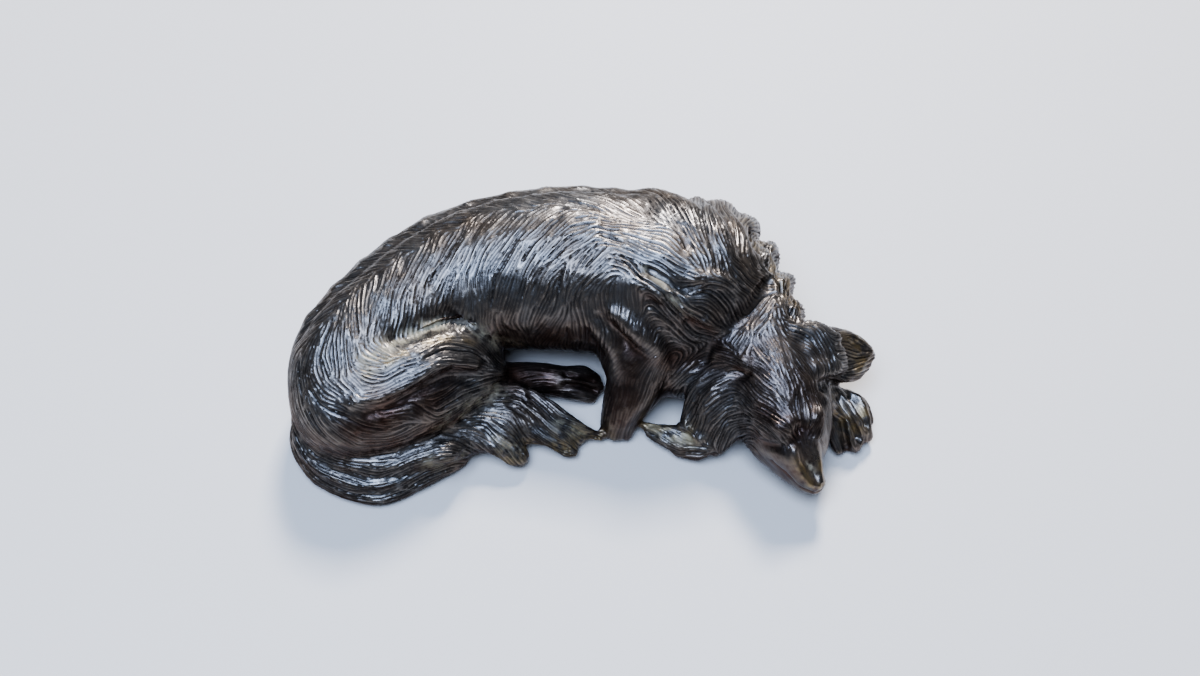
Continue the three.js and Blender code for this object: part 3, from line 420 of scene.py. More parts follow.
# %% Which way the hair lies on the shoulder, the mane and the neck
COMB += [
    {"where": "tucked foreleg", "depth": 0.5, "pitch": 0.9, "strokes": [
        [(8, -9, 14), (8, -12, 11), (7, -15, 7), (6, -17, 3)],
        [(12, -12, 11), (11, -14, 9), (9, -16, 5)],
        [(10, -6, 23), (8, -7, 18), (5, -7, 14)],
        [(12, -7, 21), (9, -9, 17), (6, -9, 13)],
    ]},
    {"where": "shoulder", "depth": 1.15, "pitch": 1.05, "strokes": [
        [(21, 6, 34), (19, 10, 34), (15, 12, 34), (9, 13, 34), (2, 15, 35)],
        [(19, 6, 34), (15, 9, 34), (9, 11, 34), (2, 14, 35), (-3, 13, 35)],
        [(21, 2, 32), (14, 5, 34), (9, 7, 34), (3, 10, 34), (-1, 9, 33), (-4, 6, 32)],
        [(0, 9, 34), (-3, 6, 32), (-4, 1, 29)],
        [(3, 8, 34), (1, 5, 32), (-1, 2, 30)],
        [(14, 0, 31), (11, 2, 32), (9, 5, 33), (5, 7, 34)],
        [(21, -3, 25), (17, -2, 29), (14, 0, 32), (11, 2, 32)],
        [(32, 0, 24), (31, 1, 27), (27, 2, 30), (24, 2, 31), (20, 2, 30)],
        [(30, -2, 22), (28, -1, 26), (24, 0, 29), (19, 0, 30)],
        [(26, -4, 22), (23, -3, 23), (19, -2, 27), (16, 0, 31)],
    ]},
    {"where": "withers", "depth": 1.1, "pitch": 1, "strokes": [
        [(20, 9, 33), (17, 14, 34), (14, 19, 34)],
        [(24, 6, 33), (21, 10, 34), (19, 15, 34), (17, 21, 32)],
        [(25, 4, 32), (24, 9, 34), (22, 14, 34), (21, 19, 33)],
        [(27, 4, 31), (25, 9, 33), (24, 15, 34), (24, 21, 31)],
        [(33, 5, 28), (29, 7, 32), (28, 12, 32), (27, 18, 29)],
        [(36, 6, 24), (33, 6, 28), (31, 9, 30), (30, 15, 27)],
    ]},
    {"where": "mane", "depth": 1.2, "pitch": 1, "strokes": [
        [(31, 14, 27), (33, 20, 22), (33, 25, 15)],
        [(36, 10, 25), (37, 16, 21), (38, 23, 14)],
        [(40, 3, 23), (40, 9, 21), (42, 16, 14)],
        [(42, -1, 22), (43, 5, 20), (44, 13, 12)],
        [(43, 2, 19), (45, 5, 15), (46, 8, 11)],
    ]},
    {"where": "neck", "depth": 1.15, "pitch": 0.95, "strokes": [
        [(35, 1, 24), (32, -3, 23), (29, -5, 22)],
        [(36, -2, 24), (33, -5, 23), (30, -8, 21)],
    ]},
]

# %% Which way the hair lies on the head and the paw under it
COMB += [
    {"where": "head", "depth": 1, "pitch": 0.85, "strokes": [
        [(36, -2, 24), (38, -7, 23), (40, -12, 22), (41, -17, 20), (42, -21, 18)],
        [(32, -3, 23), (34, -8, 23), (37, -12, 22), (38, -16, 21)],
        [(26, -7, 19), (30, -9, 20), (34, -12, 21), (38, -15, 21)],
        [(28, -9, 18), (32, -13, 19), (36, -17, 20), (38, -20, 19)],
        [(30, -13, 17), (34, -18, 18), (38, -21, 18)],
        [(31, -17, 15), (35, -21, 17), (39, -23, 17)],
        [(42, -3, 23), (45, -4, 22), (48, -7, 20), (49, -10, 18)],
        [(40, -6, 22), (44, -8, 21), (46, -11, 20), (47, -14, 16)],
        [(40, -11, 22), (43, -14, 20), (45, -19, 18)],
    ]},
    {"where": "brow", "depth": 0.8, "pitch": 0.75, "strokes": [
        [(40, -20, 19), (41, -22, 17), (41.5, -23, 14)],
        [(42, -19, 19), (42, -21.5, 17), (42.5, -23, 13.5)],
        [(45, -18, 18), (44.5, -21.5, 16.5), (43.5, -23, 14)],
        [(36, -21, 17), (38, -23, 16.5), (40, -24, 14.5)],
    ]},
    {"where": "far ear", "depth": 1.1, "pitch": 0.9, "strokes": [
        [(49, -4, 19), (53, -1, 15), (58, -1, 11)],
        [(50, -6, 18), (55, -4, 13), (58, -2, 11)],
        [(50, -9, 16), (54, -6, 12), (57, -4, 10)],
    ]},
    {"where": "near ear", "depth": 1.15, "pitch": 0.9, "strokes": [
        [(21, -16, 6), (22, -14, 10), (25, -12, 14), (29, -12, 16), (32, -15, 17)],
        [(23, -19, 6), (24, -16, 10), (27, -15, 13), (30, -15, 15), (32, -18, 15)],
        [(20, -13, 9), (22, -11, 13), (25, -9, 15), (29, -9, 17)],
        [(27, -20, 6), (28, -18, 9), (31, -18, 13)],
    ]},
    {"where": "tip of the near ear", "depth": 0.9, "pitch": 0.8, "strokes": [
        [(23, -18, 6), (19, -16, 5), (15, -14, 4), (12, -14, 2)],
        [(24, -21, 5), (20, -20, 4), (16, -18, 4), (13, -15, 3)],
    ]},
    {"where": "paw under the head", "depth": 0.6, "pitch": 0.8, "strokes": [
        [(47, -11, 8), (49, -14, 6), (51, -18, 3)],
        [(50, -11, 9), (53, -15, 7), (55, -18, 4)],
        [(53, -9, 8), (56, -12, 6), (57, -15, 4)],
    ]},
    {"where": "muzzle, almost bare", "depth": 0.12, "pitch": 0.75, "strokes": [
        [(35, -24, 13), (38, -27, 11), (41, -30, 8)],
        [(41, -25, 15), (43, -27, 12), (44, -29, 9)],
        [(46, -24, 12), (46, -26, 10), (46, -29, 7)],
    ]},
]

# %% The strokes of the comb, set on the skin
STROKE_STEP = 1.5  # mm between the points that a stroke is turned into
PLACE, ALONG, SIDE = slice(0, 3), slice(3, 6), slice(6, 9)  # columns of the tables of marks
DEPTH, PITCH, IS_DEEP = 9, 10, 11  # the columns after them


def stroke_points(stroke):
    corners = [Vector(p) for p in stroke]
    for start, end in zip(corners, corners[1:]):
        pieces = max(1, round((end - start).length / STROKE_STEP))
        for i in range(pieces):
            yield start.lerp(end, (i + 0.5) / pieces), (end - start).normalized()


def tree_of(points):
    tree = kdtree.KDTree(len(points))
    for i, p in enumerate(points):
        tree.insert(p, i)
    tree.balance()
    return tree


skin = points_of(dog.data) / MM
sides = normals_of(dog.data)
skin_tree = tree_of(skin)
guides = []
for tuft in COMB:
    for stroke in tuft["strokes"]:
        for place, way in stroke_points(stroke):
            at = skin_tree.find(place)[1]
            guides.append((*skin[at], *way, *sides[at], tuft["depth"], tuft["pitch"]))
guides = np.array(guides)
print("strokes:", sum(len(tuft["strokes"]) for tuft in COMB), "points on them:", len(guides))

# %% The combed field over the whole skin
FULL_PULL = 0.6  # mm, closer than this to a stroke the hair follows it fully
CLOSENESS = 2.5  # how quickly a stroke's pull falls off with distance
LEAST_FACING = 0.03  # cosine, the least that skin facing away from a stroke counts
FIELD_STEPS = 3  # how often the field is relaxed, so that tufts run into each other
WAVES = [(5, 0.34), (1.8, 0.08)]  # mm and radians: how the strands wander
CHUNK = 4000  # points worked out at a time, to keep the memory small
TINY = 1e-6  # keeps a direction of no length from dividing by zero


def combed(points, normals):
    rows = []
    for first in range(0, len(points), CHUNK):
        here = points[first:first + CHUNK, None, :]
        gap = ((here - guides[None, :, PLACE]) ** 2).sum(2)
        facing = np.clip(normals[first:first + CHUNK] @ guides[:, SIDE].T, LEAST_FACING, 1)
        pull = facing ** 2 / (gap + FULL_PULL ** 2) ** CLOSENESS
        pull /= pull.sum(1, keepdims=True)
        rows.append(pull @ np.hstack([guides[:, ALONG], guides[:, DEPTH:PITCH + 1]]))
    return np.vstack(rows)


def onto_skin(ways, normals):
    flat = ways - (ways * normals).sum(1, keepdims=True) * normals
    return flat / np.maximum(np.linalg.norm(flat, axis=1, keepdims=True), TINY)


def wander(points):
    turns = np.zeros(len(points))
    for size, most in WAVES:
        turns += most * np.array([noise.noise(Vector(p) / size) for p in points])
    return turns


field = combed(skin, sides)
ways = onto_skin(relax(onto_skin(field[:, :3], sides), links, FIELD_STEPS), sides)
turns = wander(skin)[:, None]
ways = ways * np.cos(turns) + np.cross(sides, ways) * np.sin(turns)
depths, pitches = field[:, 3], field[:, 4]
print("depth of cut, from", round(depths.min(), 2), "to", round(depths.max(), 2))

# %% [markdown]
# Now the cuts themselves. Each strand is drawn like a brush mark: it starts at a free place, walks
# along the combed field on the skin in both directions, and stops when it meets another strand or
# has reached its length. Strands drawn this way lie side by side at an even spacing and still end
# at different places, as hand-cut hair does. A stripe texture could not follow the tufts.

# %% The strands drawn so far
SAME_WAY = 0.2  # cosine, marks on skin that faces further away than this don't count as near


class Neighbours:
    """Points of the strands drawn so far, sorted into boxes so that the near ones are found fast."""

    def __init__(self, size):
        self.size = size
        self.boxes = {}

    def key(self, p):
        return tuple(int(v // self.size) for v in p)

    def add(self, p, side, strand):
        self.boxes.setdefault(self.key(p), []).append((p[0], p[1], p[2], side, strand))

    def nearest(self, p, side, strand):
        kx, ky, kz = self.key(p)
        least = math.inf
        for x in (kx - 1, kx, kx + 1):
            for y in (ky - 1, ky, ky + 1):
                for z in (kz - 1, kz, kz + 1):
                    for qx, qy, qz, other, owner in self.boxes.get((x, y, z), ()):
                        if owner == strand or side.dot(other) < SAME_WAY:
                            continue
                        gap = (qx - p[0]) ** 2 + (qy - p[1]) ** 2 + (qz - p[2]) ** 2
                        least = min(least, gap)
        return math.sqrt(least)


# %% Drawing the strands
STEP = 0.35  # mm between two points of a strand
SHORTEST = 1.6  # mm, shorter marks are left out
LENGTHS = (7, 22)  # mm, the longest that a strand may get
CROWDED = 0.46  # a strand stops when another is nearer than this share of the pitch
ROUNDS = (0.8, 0.56)  # how free a place has to be, as a share of the pitch, in each round
SHARP_TURN = 0.5  # cosine, a strand stops where the hair turns more than this in one step
BARE_BELOW = 0.6  # mm, no hair is cut nearer to the floor
START_EVERY = 2  # a strand may start at every second point of the skin
UNDERSIDE = -0.6  # upward part of the facing, and no strand starts on skin that faces lower
NO_STRAND = -1  # stands for the strand of a mark that isn't on one yet

way_at = [Vector(v) for v in ways]
side_at = [Vector(v) for v in sides]
spot_at = [Vector(v) for v in skin]


def walk(start, heading, strand, longest, drawn):
    marks = []
    p, at = spot_at[start], start
    while len(marks) * STEP < longest:
        step = way_at[at] * (STEP * heading)
        p = p + step
        found = skin_tree.find(p)[1]
        p = p - side_at[found] * (p - spot_at[found]).dot(side_at[found])
        if way_at[found].dot(way_at[at]) < SHARP_TURN or p.z < BARE_BELOW:
            break
        if drawn.nearest(p, side_at[found], strand) < CROWDED * pitches[found]:
            break
        at = found
        marks.append((p.copy(), at))
    return marks


def draw_strands():
    drawn = Neighbours(max(pitches))
    strands = []
    order = list(range(0, len(skin), START_EVERY))
    for free in ROUNDS:
        rng.shuffle(order)
        for start in order:
            place = spot_at[start]
            if place.z < BARE_BELOW or side_at[start].z < UNDERSIDE:
                continue
            if drawn.nearest(place, side_at[start], NO_STRAND) < free * pitches[start]:
                continue
            name = len(strands)
            longest = rng.uniform(*LENGTHS) / 2
            back = walk(start, -1, name, longest, drawn)
            fore = walk(start, 1, name, longest, drawn)
            line = back[::-1] + [(place, start)] + fore
            if len(line) * STEP < SHORTEST:
                continue
            for p, at in line:
                drawn.add(p, side_at[at], name)
            strands.append(line)
    return strands


strands = draw_strands()
print("strands:", len(strands), "points:", sum(len(line) for line in strands))

# %% [markdown]
# A cut is a valley with rounded strands on both sides. It is narrow and sharp at the bottom, like the
# mark of a pointed tool, and fades out at both ends. The skin is first divided so that its squares
# are small enough to carry the valleys, and each point sinks by its distance to the nearest strand.
# A few deeper cuts part the hair into locks. The mouth, the eyes and the creases of the ears are lines
# of their own.

# %% How deep each mark is cut
CUT_DEPTH = 0.34  # mm, at full depth
SHARPNESS = 1.4  # above 1 the strands are round and the cuts between them sharp
END_FADE = 1.6  # mm over which a cut fades in and out
FADE_START = 0.3  # mm of that fade which a cut has already at its end
UNEVEN = 0.2  # how much one cut may differ from the next
DEEP_SHARE = 0.15  # this share of the cuts are deep ones, between two locks
DEEP = 1.35  # how much deeper those are


def cut_strength():
    deep = rng.random() < DEEP_SHARE
    return (1 + rng.uniform(-UNEVEN, UNEVEN)) * (DEEP if deep else 1), deep


def strand_table():
    rows = []
    for line in strands:
        strength, deep = cut_strength()
        total = (len(line) - 1) * STEP
        for i, (p, at) in enumerate(line):
            before, after = line[max(0, i - 1)][0], line[min(len(line) - 1, i + 1)][0]
            along = (after - before).normalized()
            fade = min(1, (min(i * STEP, total - i * STEP) + FADE_START) / END_FADE)
            depth = CUT_DEPTH * strength * depths[at] * math.sqrt(fade)
            rows.append((*p, *along, *side_at[at], depth, pitches[at], deep))
    return np.array(rows)


# %% The nearest mark, and the valley that it makes
def nearest_rows(points, tree):
    find = tree.find
    return np.fromiter((find(p)[1] for p in points.tolist()), np.int64, len(points))


def valley(points, table, found):
    rows = table[found]
    gap = points - rows[:, PLACE]
    along = (gap * rows[:, ALONG]).sum(1)
    over = np.maximum(np.abs(along) - STEP, 0)
    gap -= along[:, None] * rows[:, ALONG]
    gap -= (gap * rows[:, SIDE]).sum(1, keepdims=True) * rows[:, SIDE]
    away = np.sqrt((gap ** 2).sum(1) + over ** 2) / (rows[:, PITCH] / 2)
    share = 1 - np.clip(away, 0, 1)
    return rows[:, DEPTH] * share ** SHARPNESS


# %% The hair parts into locks beside the deep cuts
LOCK_DEPTH = 0.1  # mm that the skin dips beside a deep cut
LOCK_EDGE = 0.8  # mm, how far that dip reaches
SAME_FACE = 0.3  # cosine, skin that faces further away than this isn't parted by the cut

cuts = strand_table()
deep = cuts[cuts[:, IS_DEEP] > 0]
between = deep[nearest_rows(skin, tree_of(deep[:, PLACE]))]
gap = np.sqrt(((skin - between[:, PLACE]) ** 2).sum(1))
parted = LOCK_DEPTH * between[:, DEPTH] / CUT_DEPTH * np.exp(-(gap / LOCK_EDGE) ** 2)
parted[(sides * between[:, SIDE]).sum(1) < SAME_FACE] = 0
parted[foot] = 0
put_points(dog.data, (skin - sides * parted[:, None]) * MM)
print("deep cuts:", len(deep), "of", len(cuts), "points")

# %% Lines of their own
LINES = [
    {"where": "mouth", "width": 0.3, "depth": 0.3, "stroke": [
        (36.5, -25.5, 9.5), (39.5, -28, 8.5), (42.5, -30.3, 6.8), (45, -31.3, 6.3), (46.8, -30.3, 6.8)]},
    {"where": "near eye, closed", "width": 0.3, "depth": 0.35, "stroke": [
        (38, -24.5, 14.2), (39.3, -25, 13.8), (40.6, -24.8, 13.3)]},
    {"where": "far eye, closed", "width": 0.3, "depth": 0.35, "stroke": [
        (44, -24, 13.2), (45, -23.4, 13.5), (45.8, -22.5, 14.2)]},
    {"where": "near nostril", "width": 0.35, "depth": 0.4, "stroke": [
        (44.7, -31, 8.3), (45, -31.3, 7.8)]},
    {"where": "far nostril", "width": 0.35, "depth": 0.4, "stroke": [
        (46.2, -30.4, 8.5), (46.5, -30.6, 8)]},
    {"where": "crease of the far ear", "width": 0.6, "depth": 0.4, "stroke": [
        (50, -5, 19.5), (55, -1.5, 13.5), (57.5, -1.5, 11.5)]},
    {"where": "crease of the near ear", "width": 0.5, "depth": 0.35, "stroke": [
        (13, -14.5, 3.5), (17.5, -15, 4.5), (21, -18.5, 5.5)]},
]

# %% Cutting the strands and the lines
apply_modifier(dog, "SUBSURF", levels=1, render_levels=1, use_limit_surface=False)
fine = points_of(dog.data) / MM
fine_sides = normals_of(dog.data)
cut_tree = tree_of(cuts[:, PLACE])
found = nearest_rows(fine, cut_tree)
agree = (fine_sides * cuts[found, SIDE]).sum(1) > 0
sunk = np.where(agree, valley(fine, cuts, found), 0)
foot = fine[:, 2] < FOOT
for line in LINES:
    sunk += pull_of(fine, line["stroke"], line["width"]) * line["depth"]
sunk[foot] = 0
carved = fine - fine_sides * sunk[:, None]
on_the_floor(carved)
carved = np.clip(carved, np.array(cad_low) / MM, np.array(cad_high) / MM)
put_points(dog.data, carved * MM)
print("fine skin:", len(fine), "points, deepest cut, mm:", round(sunk.max(), 2))

# %% [markdown]
# The divided skin has far more triangles than the cuts need. Collapsing edges takes them away where the
# surface is flat and leaves them along the cuts, so the hair stays crisp and the file small.

# %% Fewer triangles, where they show least
MOST_TRIANGLES = 192000  # the most triangles that the mesh keeps; the limit for a piece is 200,000


def count_triangles(mesh):
    mesh.calc_loop_triangles()
    return len(mesh.loop_triangles)


share = MOST_TRIANGLES / count_triangles(dog.data)
apply_modifier(dog, "DECIMATE", decimate_type="COLLAPSE", ratio=share, use_collapse_triangulate=True)
fewer = points_of(dog.data)
fewer[:, 2] = np.maximum(fewer[:, 2], 0)
put_points(dog.data, fewer)
dog.data.polygons.foreach_set("use_smooth", [True] * len(dog.data.polygons))
print("triangles:", count_triangles(dog.data))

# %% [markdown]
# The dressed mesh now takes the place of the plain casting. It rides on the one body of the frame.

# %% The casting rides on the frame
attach(dog, "root")
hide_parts("dog_casting")

# %% [markdown]
# The finish is an old brown patina on cast bronze: the metal was browned with heat and salts and then
# waxed. Where hands and cloths reach, it is polished and shines. Where they don't, it stays darker and
# reddish, and on the belly, the legs and every side that faces down or sideways the colour is darkened
# further as painted shade. The tips are rubbed through to the metal, and wax and dust have dried
# to a cream crust in some folds. So the material needs to know what lies in a cut, what stands proud,
# what gets painted shade and darker patina, and which places are rubbed or crusted. All this is measured
# on the mesh and kept with its points as attributes. Places and widths are in millimetres again.

# %% Which places are rubbed
RUBBED = [
    {"where": "first tip of the tail", "width": 3, "stroke": [(-15, -21, 4), (-12, -20, 3.5)]},
    {"where": "second tip of the tail", "width": 2.6, "stroke": [(-6, -20, 3.5), (-3, -20, 3)]},
    {"where": "last tip of the tail", "width": 2.4, "stroke": [(-2, -17, 4), (3, -16, 3)]},
    {"where": "crest of the thigh", "width": 0.9, "stroke": [
        (-42, -15, 25), (-36, -12, 25.5), (-30, -8, 24.5), (-25, -6, 24), (-21, -6, 21.5)]},
    {"where": "tip of the near ear", "width": 2.2, "stroke": [
        (13, -14, 3), (17, -16, 4.5), (21, -18, 5.5)]},
    {"where": "far ear", "width": 2.4, "stroke": [(54, -1, 14), (58, -2, 11), (55, -5, 12)]},
    {"where": "rim of the muzzle", "width": 0.9, "stroke": [
        (41, -27, 12.7), (42.4, -28.8, 10.5), (43.8, -30.3, 8.7), (45.3, -30.8, 8.3), (46.5, -29.8, 9.2),
        (45.9, -28.3, 10.5), (45, -26.5, 12)]},
    {"where": "toes under the head", "width": 2.2, "stroke": [
        (50, -14, 9), (54, -16, 5), (57, -13, 6)]},
    {"where": "locks of the mane", "width": 3, "stroke": [(34, 20, 23), (38, 12, 23), (42, 4, 21)]},
]

# %% Which places are crusted, and which get painted shade and darker patina
CRUSTED = [
    {"where": "hollow above the thigh", "width": 2.1, "stroke": [
        (-41, -12, 25), (-35, -7, 24), (-29, -3, 23)]},
    {"where": "knee", "width": 2, "stroke": [(-23, -2, 22), (-19, -3, 18), (-14, -3, 13)]},
    {"where": "top edge of the tail", "width": 2, "stroke": [
        (-28, -18, 12), (-23, -15, 12.5), (-17, -11, 11.5)]},
    {"where": "creases by the curl", "width": 2.2, "stroke": [(-30, -25, 7), (-25, -24, 6)]},
    {"where": "inside the first tip", "width": 1.8, "stroke": [(-17, -20, 6), (-14, -21, 4)]},
    {"where": "between the last tips", "width": 1.8, "stroke": [(-5, -16, 6.5), (0, -17, 4.5)]},
    {"where": "furrows of the shoulder", "width": 0.9, "stroke": [
        (12, 4, 32.5), (16, 0, 30), (20, -3, 27)]},
    {"where": "groove of the near ear", "width": 1.5, "stroke": [
        (14, -15, 3.5), (18, -17, 4.5), (22, -19, 5)]},
    {"where": "groove of the bridge", "width": 0.7, "stroke": [(43.2, -26.8, 11), (44.5, -28.8, 10)]},
]
# painted shade, with darker and redder patina, on places that lie in shadow
SHADE_AND_PATINA_SPOTS = [
    {"where": "head", "width": 9, "share": 0.55, "stroke": [
        (31, -9, 20), (37, -14, 20), (42, -18, 19)]},
    {"where": "side of the haunch", "width": 4.5, "stroke": [
        (-44, -23, 17), (-36, -20, 19), (-28, -15, 18)]},
    {"where": "side of the muzzle", "width": 4, "stroke": [(36, -23, 13), (40, -28, 10), (43, -31, 7)]},
    {"where": "brow", "width": 4, "stroke": [(35, -20, 18), (40, -22.5, 16), (45, -21, 16)]},
    {"where": "hind paw", "width": 5, "stroke": [(-14, -6, 9), (-6, -5, 7), (2, -5, 5)]},
    {"where": "folded foreleg", "width": 5, "stroke": [(10, -7, 20), (8, -12, 12), (6, -16, 5)]},
    {"where": "below the ear", "width": 4, "stroke": [(16, -6, 17), (22, -8, 17), (27, -6, 19)]},
]

# %% What the finish needs to know about each place
HOLLOW_STEPS = 25  # how wide a hollow or a ridge may be, in steps of relaxing
HOLLOW_DEPTH = 0.35  # mm below its surroundings that counts as fully hollow
FACING_STEPS = 12  # the same for the way that a larger place faces
OPEN, CLOSED = 0.62, 0.02  # upward part of the facing where painted shade and darker patina begin, and where they are full


def keep(mesh, name, values):
    layer = mesh.attributes.new(name, "FLOAT", "POINT")
    layer.data.foreach_set("value", values.astype(np.float32))
    print(name, "from", round(float(values.min()), 2), "to", round(float(values.max()), 2))


def painted(points, spots):
    pulls = [pull_of(points, spot["stroke"], spot["width"]) * spot.get("share", 1) for spot in spots]
    return np.max(pulls, axis=0)


places = points_of(dog.data) / MM
outward = normals_of(dog.data)
joins = edges_of(dog.data)
in_cut = valley(places, cuts, nearest_rows(places, cut_tree)) / CUT_DEPTH
wider = relax(places, joins, HOLLOW_STEPS)
hollow = ((wider - places) * outward).sum(1) / HOLLOW_DEPTH
facing = relax(outward, joins, FACING_STEPS)[:, 2]
shaded = np.clip((OPEN - facing) / (OPEN - CLOSED), 0, 1)
keep(dog.data, "cut", np.clip(in_cut, 0, 1))
keep(dog.data, "hollow", np.clip(hollow, -1, 1))
# painted shade and darker patina: skin that faces sideways or down, and the spots listed above
keep(dog.data, "shade_and_dark_patina", np.maximum(shaded, painted(places, SHADE_AND_PATINA_SPOTS)))
keep(dog.data, "rubbed", painted(places, RUBBED))
keep(dog.data, "crusted", painted(places, CRUSTED))

# %% [markdown]
# Patinated bronze is a metal under a thin dark oxide and a coat of wax. The oxide keeps the metal's
# sharp, narrow lights and takes away most of its colour, so the sheen is cool in a cool light. The
# metal stays at 0.9 metallic and keeps the default IOR, and only the crust covers most of it. The
# colours go from dark to light: the oxide, nearly black in the cuts and redder and darker on sides that
# face down and in places that lie in shadow, which is partly older patina and partly painted shade, then
# polished and rubbed metal, then the crust. The cast skin is finely pitted, and the bump node draws these
# pits.

# %% Colours, nodes and materials
def linear(colour):
    values = [int(colour[i:i + 2], 16) / 255 for i in (1, 3, 5)]
    flat = [v / 12.92 if v <= 0.04045 else ((v + 0.055) / 1.055) ** 2.4 for v in values]
    return (*flat, 1)


def node(tree, kind, links=None, **settings):
    made = tree.nodes.new(kind)
    for name, value in settings.items():
        setattr(made, name, value)
    for socket, value in (links or {}).items():
        if isinstance(value, bpy.types.Node):
            value = next(out for out in value.outputs if out.enabled)
        if isinstance(value, bpy.types.NodeSocket):
            tree.links.new(value, made.inputs[socket])
        else:
            made.inputs[socket].default_value = value
    return made


def new_material(name):
    made = bpy.data.materials.new(name)
    made.use_nodes = True
    made.node_tree.nodes.clear()
    return made, made.node_tree


# %% Patinated bronze
GRAIN = 0.35  # mm between the pits of the cast skin, about twice the real distance so that they show
CLOUD = 9  # mm across the patches of redder and darker oxide
SMUDGE = 2.2  # mm across the patches of wax
PITS = 0.1  # mm deep

bronze, tree = new_material("patinated_cast_bronze")
MIX, RANGE, MATH = "ShaderNodeMix", "ShaderNodeMapRange", "ShaderNodeMath"
SHARE, FIRST, SECOND = 0, 6, 7  # the sockets of a mix node that mixes colours
kept = ("cut", "hollow", "shade_and_dark_patina", "rubbed", "crusted")
cut, hollow, shade_and_dark_patina, rubbed, crusted = (
    node(tree, "ShaderNodeAttribute", attribute_name=name).outputs["Fac"] for name in kept)
place = node(tree, "ShaderNodeTexCoord").outputs["Object"]
cloud, smudge, grain = (
    node(tree, "ShaderNodeTexNoise", {
        "Vector": place, "Scale": 1 / (size * MM), "Detail": detail, "Roughness": 0.6})
    for size, detail in ((CLOUD, 3), (SMUDGE, 4), (GRAIN, 2)))

# %% Its colours
# the oxide: grey and shiny where it is polished; reddish and dark where it is unpolished and where shade
# is painted in, on sides that face down and places in shadow
redder = node(tree, RANGE, {"Value": cloud, "From Min": 0.36, "From Max": 0.7})
polished = node(tree, MIX, {
    SHARE: redder, FIRST: linear("#7a7875"), SECOND: linear("#766b60")}, data_type="RGBA")
dark = node(tree, MIX, {
    SHARE: redder, FIRST: linear("#33221a"), SECOND: linear("#513122")}, data_type="RGBA")
# how much of the darker, redder colour is used: partly unpolished patina, partly painted shade
in_shade_and_patina = node(tree, MATH, {0: shade_and_dark_patina, 1: 0.9}, operation="MULTIPLY")
oxide = node(tree, MIX, {SHARE: in_shade_and_patina, FIRST: polished, SECOND: dark}, data_type="RGBA")
# what stands proud is rubbed through to the metal, in patches
proud = node(tree, RANGE, {"Value": hollow, "From Min": 0.1, "From Max": -0.7, "To Max": 0.3})
smudged = node(tree, RANGE, {"Value": smudge, "From Min": 0.4, "From Max": 0.58})
bare = node(tree, MATH, {0: proud, 1: smudged}, operation="MULTIPLY")
tipped = node(tree, MIX, {SHARE: bare, FIRST: oxide, SECOND: linear("#9a8f80")}, data_type="RGBA")
# where hands and cloths rub most, the bare metal is golden
worn = node(tree, MATH, {0: rubbed, 1: smudged}, operation="MULTIPLY")
golden = node(tree, MIX, {
    SHARE: node(tree, MATH, {0: worn, 1: 0.7}, operation="MULTIPLY"),
    FIRST: tipped, SECOND: linear("#a08a5e")}, data_type="RGBA")
# the cuts darken almost to black: the oldest, darkest oxide stays in them, and painted shade is laid in
# them too
cut_oxide_and_shade = node(tree, MATH, {0: cut, 1: 0.85}, operation="MULTIPLY")
grooved = node(tree, MIX, {SHARE: cut_oxide_and_shade, FIRST: golden, SECOND: linear("#150f0c")}, data_type="RGBA")
# wax and dust have dried to a cream crust, most of it where the skin is hollow
caught = node(tree, RANGE, {"Value": hollow, "From Min": -0.5, "From Max": 0.4, "To Min": 0.35})
crust = node(tree, MATH, {
    0: node(tree, MATH, {0: crusted, 1: smudged}, operation="MULTIPLY"), 1: caught}, operation="MULTIPLY")
colour = node(tree, MIX, {
    SHARE: node(tree, MATH, {0: crust, 1: 0.65}, operation="MULTIPLY"),
    FIRST: grooved, SECOND: linear("#aba184")}, data_type="RGBA")

# %% Its gloss and its pits
# wax shines in patches, and the cuts, the places of painted shade and darker patina, and the crust are
# duller
waxed = node(tree, RANGE, {
    "Value": smudge, "From Min": 0.35, "From Max": 0.65, "To Min": 0.23, "To Max": 0.33})
in_cuts = node(tree, MATH, {0: cut, 1: 0.25, 2: waxed}, operation="MULTIPLY_ADD")
in_the_dark = node(tree, MATH, {0: shade_and_dark_patina, 1: 0.06, 2: in_cuts}, operation="MULTIPLY_ADD")
dull = node(tree, MATH, {0: crust, 1: 0.4, 2: in_the_dark}, operation="MULTIPLY_ADD")
# dried wax and dust cover most of the metal
metal = node(tree, RANGE, {"Value": crust, "To Min": 0.9, "To Max": 0.3})
pits = node(tree, "ShaderNodeBump", {"Height": grain, "Strength": 0.3, "Distance": PITS * MM})
shader = node(tree, "ShaderNodeBsdfPrincipled", {
    "Base Color": colour, "Metallic": metal, "Roughness": dull, "Normal": pits,
    "Coat Weight": 0.25, "Coat Roughness": 0.3})
node(tree, "ShaderNodeOutputMaterial", {"Surface": shader})
dog.data.materials.clear()
dog.data.materials.append(bronze)
print("bronze:", len(tree.nodes), "nodes")

# %% [markdown]
# The floor is a sheet of pale paper. The photograph's light comes from a window high behind the dog and
# a little to the right, which throws the head's shadow forwards, and from a broad cool sky above, which
# gives the long bluish sheen on the back. Two square lamps stand for them. A dark metal shows its lamps
# more than its own colour, so their places matter more here than any setting of the material.

# %% Floor
FLOOR_SIZE = 6  # m across

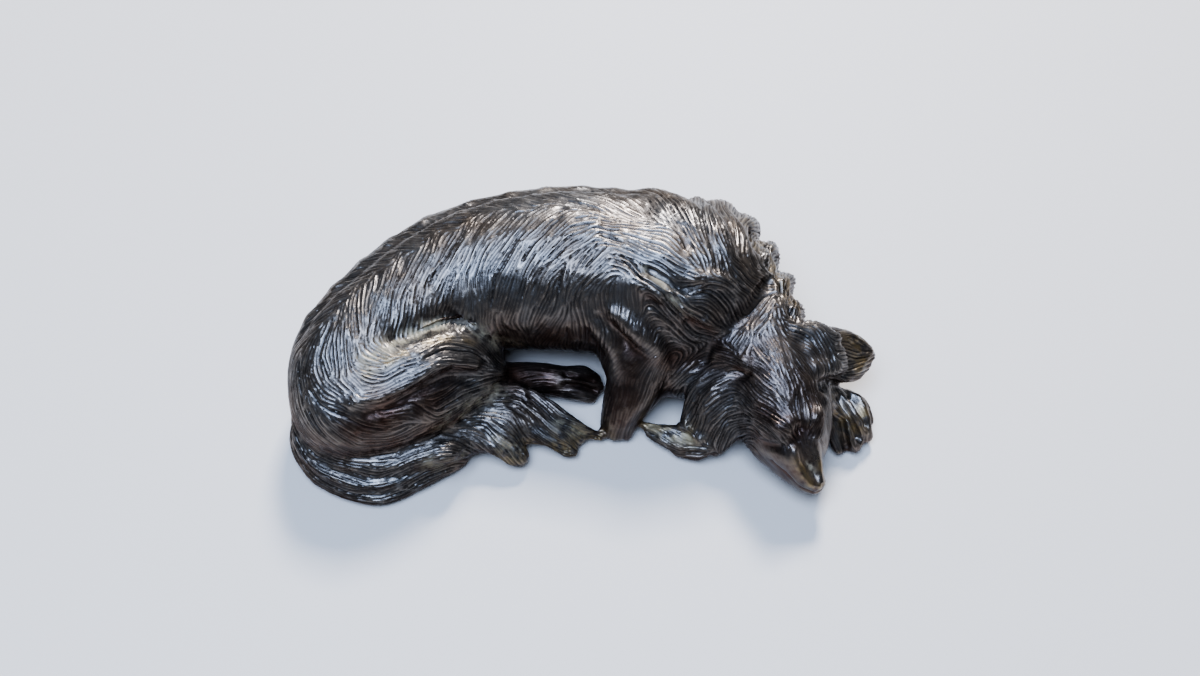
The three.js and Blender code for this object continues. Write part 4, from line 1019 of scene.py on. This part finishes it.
# matt paper has no shine, so the lights stay on the bronze and the shadow beside it stays plain
paper, paper_tree = new_material("pale_matt_paper")
paper_shader = node(paper_tree, "ShaderNodeBsdfPrincipled", {
    "Base Color": linear("#cfc9c0"), "Roughness": 0.6})
node(paper_tree, "ShaderNodeOutputMaterial", {"Surface": paper_shader})
bpy.ops.mesh.primitive_plane_add(size=FLOOR_SIZE, location=(0, 0, 0))
floor = bpy.context.object
floor.name = "floor"
floor.data.materials.append(paper)

# %% Light
ROOM_LIGHT = 0.13  # how bright the room around the lamps is


# a square lamp that looks at the middle of the floor, with its place and size in metres
def softbox(name, place, size, power, colour):
    light = bpy.data.lights.new(name, "AREA")
    light.shape = "SQUARE"
    light.size = size
    light.energy = power
    light.color = linear(colour)[:3]
    lamp = bpy.data.objects.new(name, light)
    lamp.location = place
    lamp.rotation_euler = (-Vector(place)).to_track_quat("-Z", "Y").to_euler()
    bpy.context.scene.collection.objects.link(lamp)
    print(name, "lamp,", power, "watts,", round(Vector(place).length, 2), "m away")


softbox("window", (0.12, 0.72, 0.72), 0.2, 16, "#fbfaff")
softbox("sky", (-0.15, -0.2, 0.95), 0.7, 18, "#c0d7ff")
room = bpy.data.worlds.new("room")
bpy.context.scene.world = room
room.use_nodes = True
room.node_tree.nodes["Background"].inputs["Color"].default_value = linear("#cfc6bb")
room.node_tree.nodes["Background"].inputs["Strength"].default_value = ROOM_LIGHT
bpy.context.scene.view_settings.look = "AgX - Medium High Contrast"

# %% Camera
CAMERA_TILT = 58  # degrees above the floor
CAMERA_FAR = 277  # mm from the point that it looks at
LOOKS_AT = (3, 8.5, 0)  # mm
SENSOR = 36  # mm wide
LENS = 38.6  # mm, on that sensor
NEAREST = 10  # mm, closer than this the camera sees nothing

camera = bpy.data.objects.new("camera", bpy.data.cameras.new("camera"))
camera.data.lens = LENS
camera.data.sensor_width = SENSOR
tilt = math.radians(CAMERA_TILT)
back = Vector((0, -math.cos(tilt), math.sin(tilt)))
camera.location = (Vector(LOOKS_AT) + back * CAMERA_FAR) * MM
camera.rotation_euler = (math.pi / 2 - tilt, 0, 0)
camera.data.clip_start = NEAREST * MM
bpy.context.scene.collection.objects.link(camera)
bpy.context.scene.camera = camera
print("camera, mm above the floor:", round(camera.location.z / MM))
